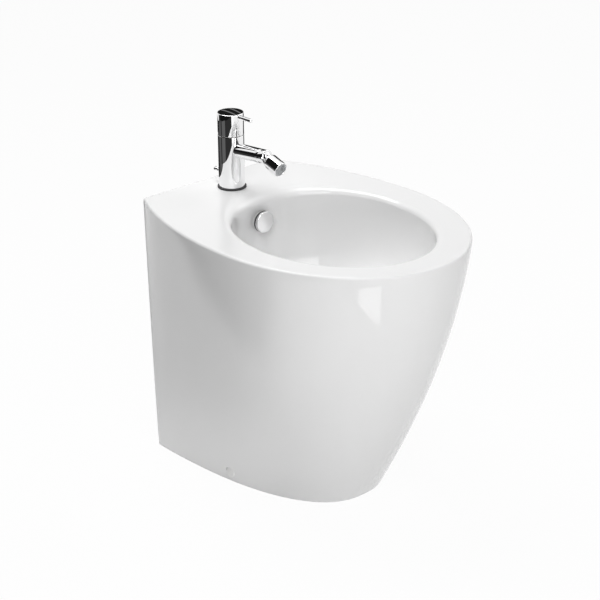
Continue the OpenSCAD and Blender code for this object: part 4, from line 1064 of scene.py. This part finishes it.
def build_waste(fit, rim):
    """Drain flange with its tube and overflow holes, and the pop-up plug."""
    drain = at(0, rim.rim_depth / 2 - rim.drain_at, 0)
    basin_z = rim.rim_height - rim.basin_depth
    flange_z = basin_z - rim.recess_depth + FLANGE_LIFT
    inner, top, seat = TUBE_RADIUS - TUBE_WALL, flange_z + FLANGE_THICK, flange_z + 1.2
    tube_end = levels("waste_flange")[0]
    way = at(0, rim.rim_depth / 2 - rim.drain_at, basin_z - DUCT_DROP)
    turned("drain_flange", drain, [
        (inner, tube_end, 0.3), (TUBE_RADIUS, tube_end, 0.5), (TUBE_RADIUS, flange_z, 0.5),
        (fit.flange_radius, flange_z, 0.3), (fit.flange_radius, top, 1.2),
        (fit.plug_radius + 2.6, top, 0.7), (fit.plug_radius + 0.8, seat, 0.5), (inner, seat, 0.6)],
        "bidet", "chrome", ["waste_flange"],
        cuts=[bore("overflow_way", 4.5, 10, 30,
                   spun(way, turn) @ Matrix.Rotation(math.pi / 2, 4, "Y"), turns=32)
              for turn in np.radians([90, 210, 330])])

    plug_low, plug_high = levels("waste_plug")
    r, edge, under = fit.plug_radius, plug_high - PLUG_DOME, plug_high - PLUG_THICK
    dome = [(r * i / 10, plug_high - PLUG_DOME * (i / 10) ** 2, 0) for i in range(10)]
    fin, fin_top = inner - 0.3, basin_z - FIN_DROP
    turned("plug", drain, dome + [
        (r, edge, 0.7), (r, under, 0.3), (PLUG_STEM, under, 0.8), (PLUG_STEM, plug_low + 8, 0),
        (0, plug_low + 8, 0)], "plug", "chrome", ["waste_plug"],
        joins=[block("fin", (-fin, -FIN_HALF, fin_top - FIN_HEIGHT), (fin, FIN_HALF, fin_top),
                     spun(drain, turn)) for turn in (0, math.pi / 2)]
        + [block("eye", (-5, -4, plug_low), (5, 4, plug_low + 14), drain)],
        cuts=[bore("eye_hole", EYE_RADIUS, -10, 10,
                   at(0, rim.rim_depth / 2 - rim.drain_at, plug_low + EYE_HEIGHT, math.pi / 2))])


def build_side_caps(rim):
    """Plastic caps over the two side fixings."""
    shape = CastingShape(rim)
    seat_x = shape.fixing(1)[1] + 0.02
    skirt = rim.fixing_hole - 0.1
    caps = [turned(name, shape.fixing(side, seat_x)[0], [
        (0, 2.2, 0), (8.5, 1.9, 1.3), (8.5, 0, 0.2), (skirt, 0, 0), (skirt, -3, 0.3),
        (skirt - 1.1, -3, 0.2), (skirt - 1.1, 0, 0), (0, 0, 0)],
        "bidet", "white_plastic", turns=64)
        for name, side in (("side_cap_left", -1), ("side_cap_right", 1))]
    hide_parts("screw_caps")


def dress_fittings():
    """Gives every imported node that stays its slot's finish."""
    slots = {entry["node"]: entry["material_slot"] for entry in frame["record"]["subparts"]}
    for name, node in frame["nodes"].items():
        node.data.materials.clear()
        node.data.materials.append(paint_of(slots[name]))


# ---- the studio ----
TARGET = (0, 0.0418, 0.2779)  # the point the camera looks at
LAMP_AIM = (0, 0, 0.3)
LAMPS = (("key", (-1.2, -1.2, 2.0), 1.3), ("rear", (0, 0.9, 2.525), 1.3),
         ("right", (1.7, 0, 2.0), 1.3), ("front", (-0.3, -2.4, 0.5), 0.4),
         ("low", (-0.9, -2.4, 0.25), 0.6))
FLOOR_GLOW = 0.96  # how much of the floor that is seen is plain white
FLOOR_HALF, FLOOR_Z = 12000, -0.2
FAR_SIDE = math.radians(47.6)  # where the camera's view runs to, in plan


def lamp(name, place, size, power):
    """A soft square lamp turned to the middle of the object."""
    light = bpy.data.lights.new(name, "AREA")
    light.size = size
    light.energy = power
    holder = bpy.data.objects.new(name, light)
    holder.location = place
    aim = Vector(LAMP_AIM) - holder.location
    holder.rotation_euler = aim.to_track_quat("-Z", "Y").to_euler()
    bpy.context.scene.collection.objects.link(holder)


def card(name, points, strength, mirrors_only=False, fades=()):
    """A card that only gloss sees, or only what is as smooth as a mirror. Its points are its
    first edge and then the opposite one. A fade is an axis, the place in metres where the
    card is clear and the place where it is full."""
    paint = Paint(name)
    share = 1.0
    if mirrors_only:
        share = paint.node("ShaderNodeLightPath", output="Is Singular Ray")
    for axis, clear, full in fades:
        share = share * paint.step(paint.along(axis), clear, full)
    paint.show(share, paint.node("ShaderNodeBsdfTransparent"), paint.glow(strength))
    count = len(points) // 2
    faces = [(i, i + 1, count + i + 1, count + i) for i in range(count - 1)]
    piece = new_mesh(name, points, faces, [paint.owner])
    for kind in ("camera", "diffuse", "shadow", "transmission"):
        setattr(piece, "visible_" + kind, False)


def flag(name, plan, bottom, top, strength):
    """An upright card along a line in plan, in millimetres, which only mirrors see."""
    card(name, [(x, y, z) for z in (bottom, top) for x, y in plan], strength, True)


def hang_flags():
    """Dark flags with grey bands, which the chrome mirrors."""
    bend, end, shoulder = (-80, 395), (8, 412), (-152, 362)
    left = [(-260, -203), (-260, 0), (-260, 220), (-172, 353)]
    for name, plan, bottom, top, strength in (
            ("dark_flag", left + [bend, end], 333, 470, 0.03),
            ("black_flag", left + [shoulder], 470, 1500, 0.008),
            ("shoulder_flag", [shoulder, bend], 470, 545, 0.03),
            ("side_flag", [end, (150, 400), (250, 330), (300, 200)], 333, 470, 0.02),
            ("grey_band_low", [(-254, 120), (-254, 222), (-168, 349), (-100, 382)],
             345, 385, 0.12),
            ("grey_band_wide", [(-252, 191), (-252, 222), (-191, 313)], 345, 470, 0.12),
            ("grey_band_thin", [(-160, 349), (-84, 388)], 345, 470, 0.10),
            ("front_flag", [(450, -650), (-308, -716)], 606, 1235, 0.12)):
        flag(name, plan, bottom, top, strength)
    away = Vector((math.cos(FAR_SIDE), math.sin(FAR_SIDE)))
    across = Vector((-math.sin(FAR_SIDE), math.cos(FAR_SIDE)))
    for name, distance, spots, strength in (
            ("top_flag", 905, [(-260, 440), (430, 440), (-260, 1100), (430, 1100)], 0.012),
            ("slit_one", 900, [(185, 600), (85, 890), (185, 630), (85, 920)], 0.19),
            ("slit_two", 900, [(205, 680), (125, 888), (205, 712), (125, 920)], 0.19)):
        card(name, [(*(away * distance + across * side), z) for side, z in spots], strength, True)


def set_cards():
    """Bright and dark cards, which the glaze mirrors."""
    card("window", [(-484, -605, 12), (-390, -500, 12), (-335, -510, 12), (-177, -508, 12),
                    (-290, -723, 12), (-278, -684, 12), (-187, -540, 12), (-177, -508, 12)], 3.0)
    card("strip", [(x, -800, z) for x, z in (
        (-260, 25), (-329, 77), (-336, 180), (-397, 344), (-389, 656),
        (-492, 10), (-566, 72), (-568, 196), (-638, 386), (-776, 776))],
        1.8, fades=[("X", -0.75, -0.35)])
    for name, (x0, y0), (x1, y1), z, strength, fades in (
            ("dark_ground", (-1500, 20), (-350, 1600), 2, 0.1,
             [("X", -0.37, -0.50), ("Y", 0.03, 0.17)]),
            ("light_ground", (-800, -480), (-200, 80), 3, 1.45,
             [("X", -0.20, -0.38), ("Y", 0.08, -0.06)]),
            ("foot_glow", (-320, -60), (-95, 500), 4, 1.5,
             [("X", -0.30, -0.13), ("Y", -0.06, 0.06), ("Y", 0.50, 0.20)])):
        card(name, [(x0, y0, z), (x1, y0, z), (x0, y1, z), (x1, y1, z)], strength, False, fades)


def aim_camera(studio):
    """Looks at the object from the photograph's side, at its distance and roll."""
    turn, height = studio.azimuth, studio.elevation
    view = Vector((-math.sin(turn) * math.cos(height), math.cos(turn) * math.cos(height),
                   -math.sin(height)))
    right = view.cross(Vector((0, 0, 1))).normalized()
    upward = right.cross(view)
    tilt_right = right * math.cos(studio.roll) + upward * math.sin(studio.roll)
    tilt_up = upward * math.cos(studio.roll) - right * math.sin(studio.roll)
    lens = bpy.data.cameras.new("photo_view")
    lens.sensor_width = 36
    lens.lens = studio.focal
    lens.clip_end = 50
    camera = bpy.data.objects.new("photo_view", lens)
    camera.matrix_world = Matrix.Translation(Vector(TARGET) - view * studio.distance) @ Matrix(
        (tilt_right, tilt_up, -view)).transposed().to_4x4()
    bpy.context.scene.collection.objects.link(camera)
    bpy.context.scene.camera = camera


def build_floor():
    """A pale floor that shows nearly white, with the object's soft shadow."""
    paint = Paint("pale_floor")
    paint.finish(Base_Color=(0.85, 0.85, 0.85, 1), Roughness=0.9, Specular_IOR_Level=0.1)
    camera = paint.node("ShaderNodeLightPath", output="Is Camera Ray")
    seen = camera.at_least(camera.output("Is Glossy Ray"))
    paint.show(FLOOR_GLOW * seen, Value(paint, paint.surface, 0), paint.glow(1.0))
    half, z = FLOOR_HALF, FLOOR_Z
    new_mesh("studio_floor", [(-half, -half, z), (half, -half, z), (half, half, z),
                                       (-half, half, z)], [(0, 1, 2, 3)], [paint.owner])


def light_world(ambient):
    """Even light from all round, and white wherever the camera or gloss looks."""
    paint = Paint("studio", "worlds")
    camera = paint.node("ShaderNodeLightPath", output="Is Camera Ray")
    seen = camera.at_least(camera.output("Is Glossy Ray")).at_least(
        camera.output("Is Transmission Ray"))
    bpy.context.scene.world = paint.finish(Color=(1, 1, 1, 1),
                                           Strength=ambient + (1 - ambient) * seen)


def build_studio(studio):
    """Camera, floor, even light, lamps, and the cards that only reflections show."""
    aim_camera(studio)
    build_floor()
    light_world(studio.ambient)
    for name, place, size in LAMPS:
        lamp(name + "_lamp", place, size, getattr(studio, name))
    hang_flags()
    set_cards()
    bpy.context.scene.view_settings.view_transform = "Standard"


# ---- operators and panel ----
def scene_sizes():
    """The scene's sizes of the fittings and of the casting, in millimetres."""
    scene = bpy.context.scene
    return in_mm(scene.bidet_fittings), in_mm(scene.bidet_casting)


class BIDET_OT_casting(bpy.types.Operator):
    """Build the ceramic casting with its basin, openings and duct"""
    bl_idname = "bidet.casting"
    bl_label = "Casting"

    def execute(self, context):
        build_casting(scene_sizes()[1])
        return {"FINISHED"}


class BIDET_OT_mixer(bpy.types.Operator):
    """Build the mixer's column, base ring, handle cap and lever"""
    bl_idname = "bidet.mixer"
    bl_label = "Mixer"

    def execute(self, context):
        build_column(*scene_sizes())
        build_cap(*scene_sizes())
        return {"FINISHED"}


class BIDET_OT_spout(bpy.types.Operator):
    """Build the spout, its collar and the swivelling nozzle"""
    bl_idname = "bidet.spout"
    bl_label = "Spout and nozzle"

    def execute(self, context):
        build_spout(*scene_sizes())
        build_nozzle(*scene_sizes())
        return {"FINISHED"}


class BIDET_OT_knob(bpy.types.Operator):
    """Build the rear knob of the pop-up"""
    bl_idname = "bidet.knob"
    bl_label = "Rear knob"

    def execute(self, context):
        build_knob(*scene_sizes())
        return {"FINISHED"}


class BIDET_OT_cover(bpy.types.Operator):
    """Build the overflow's round cover"""
    bl_idname = "bidet.cover"
    bl_label = "Overflow cover"

    def execute(self, context):
        build_cover(*scene_sizes())
        return {"FINISHED"}


class BIDET_OT_waste(bpy.types.Operator):
    """Build the drain flange and the pop-up plug"""
    bl_idname = "bidet.waste"
    bl_label = "Waste"

    def execute(self, context):
        build_waste(*scene_sizes())
        return {"FINISHED"}


class BIDET_OT_side_caps(bpy.types.Operator):
    """Build the caps over the side fixings"""
    bl_idname = "bidet.side_caps"
    bl_label = "Side caps"

    def execute(self, context):
        build_side_caps(scene_sizes()[1])
        return {"FINISHED"}


class BIDET_OT_fittings(bpy.types.Operator):
    """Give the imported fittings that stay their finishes"""
    bl_idname = "bidet.fittings"
    bl_label = "Finishes of the fittings"

    def execute(self, context):
        dress_fittings()
        return {"FINISHED"}


class BIDET_OT_studio(bpy.types.Operator):
    """Set up the camera, floor and lamps"""
    bl_idname = "bidet.studio"
    bl_label = "Studio"

    def execute(self, context):
        build_studio(context.scene.bidet_studio)
        return {"FINISHED"}


STEPS = ("fittings", "casting", "mixer", "spout", "knob", "cover", "waste", "side_caps", "studio")


class BIDET_PT_panel(bpy.types.Panel):
    """Lists the pieces that can be built"""
    bl_idname = "BIDET_PT_panel"
    bl_label = "Floor standing bidet"
    bl_space_type = "VIEW_3D"
    bl_region_type = "UI"
    bl_category = "Bidet"

    def draw(self, context):
        for step in STEPS:
            self.layout.operator("bidet." + step)


GROUPS = (("bidet_casting", CastingSizes), ("bidet_fittings", FittingSizes),
          ("bidet_colours", FinishColours), ("bidet_studio", StudioSettings))
CLASSES = (BIDET_OT_casting, BIDET_OT_mixer, BIDET_OT_spout, BIDET_OT_knob, BIDET_OT_cover,
           BIDET_OT_waste, BIDET_OT_side_caps, BIDET_OT_fittings, BIDET_OT_studio, BIDET_PT_panel)


def register():
    """Adds the sizes, operators and panel to Blender."""
    for name, group in GROUPS:
        bpy.utils.register_class(group)
        setattr(bpy.types.Scene, name, PointerProperty(type=group))
    for part in CLASSES:
        bpy.utils.register_class(part)


def unregister():
    """Takes them away again."""
    for part in reversed(CLASSES):
        bpy.utils.unregister_class(part)
    for name, group in reversed(GROUPS):
        delattr(bpy.types.Scene, name)
        bpy.utils.unregister_class(group)


def main():
    """Builds every piece and the studio."""
    register()
    for step in STEPS:
        getattr(bpy.ops.bidet, step)()


if __name__ == "__main__":
    main()
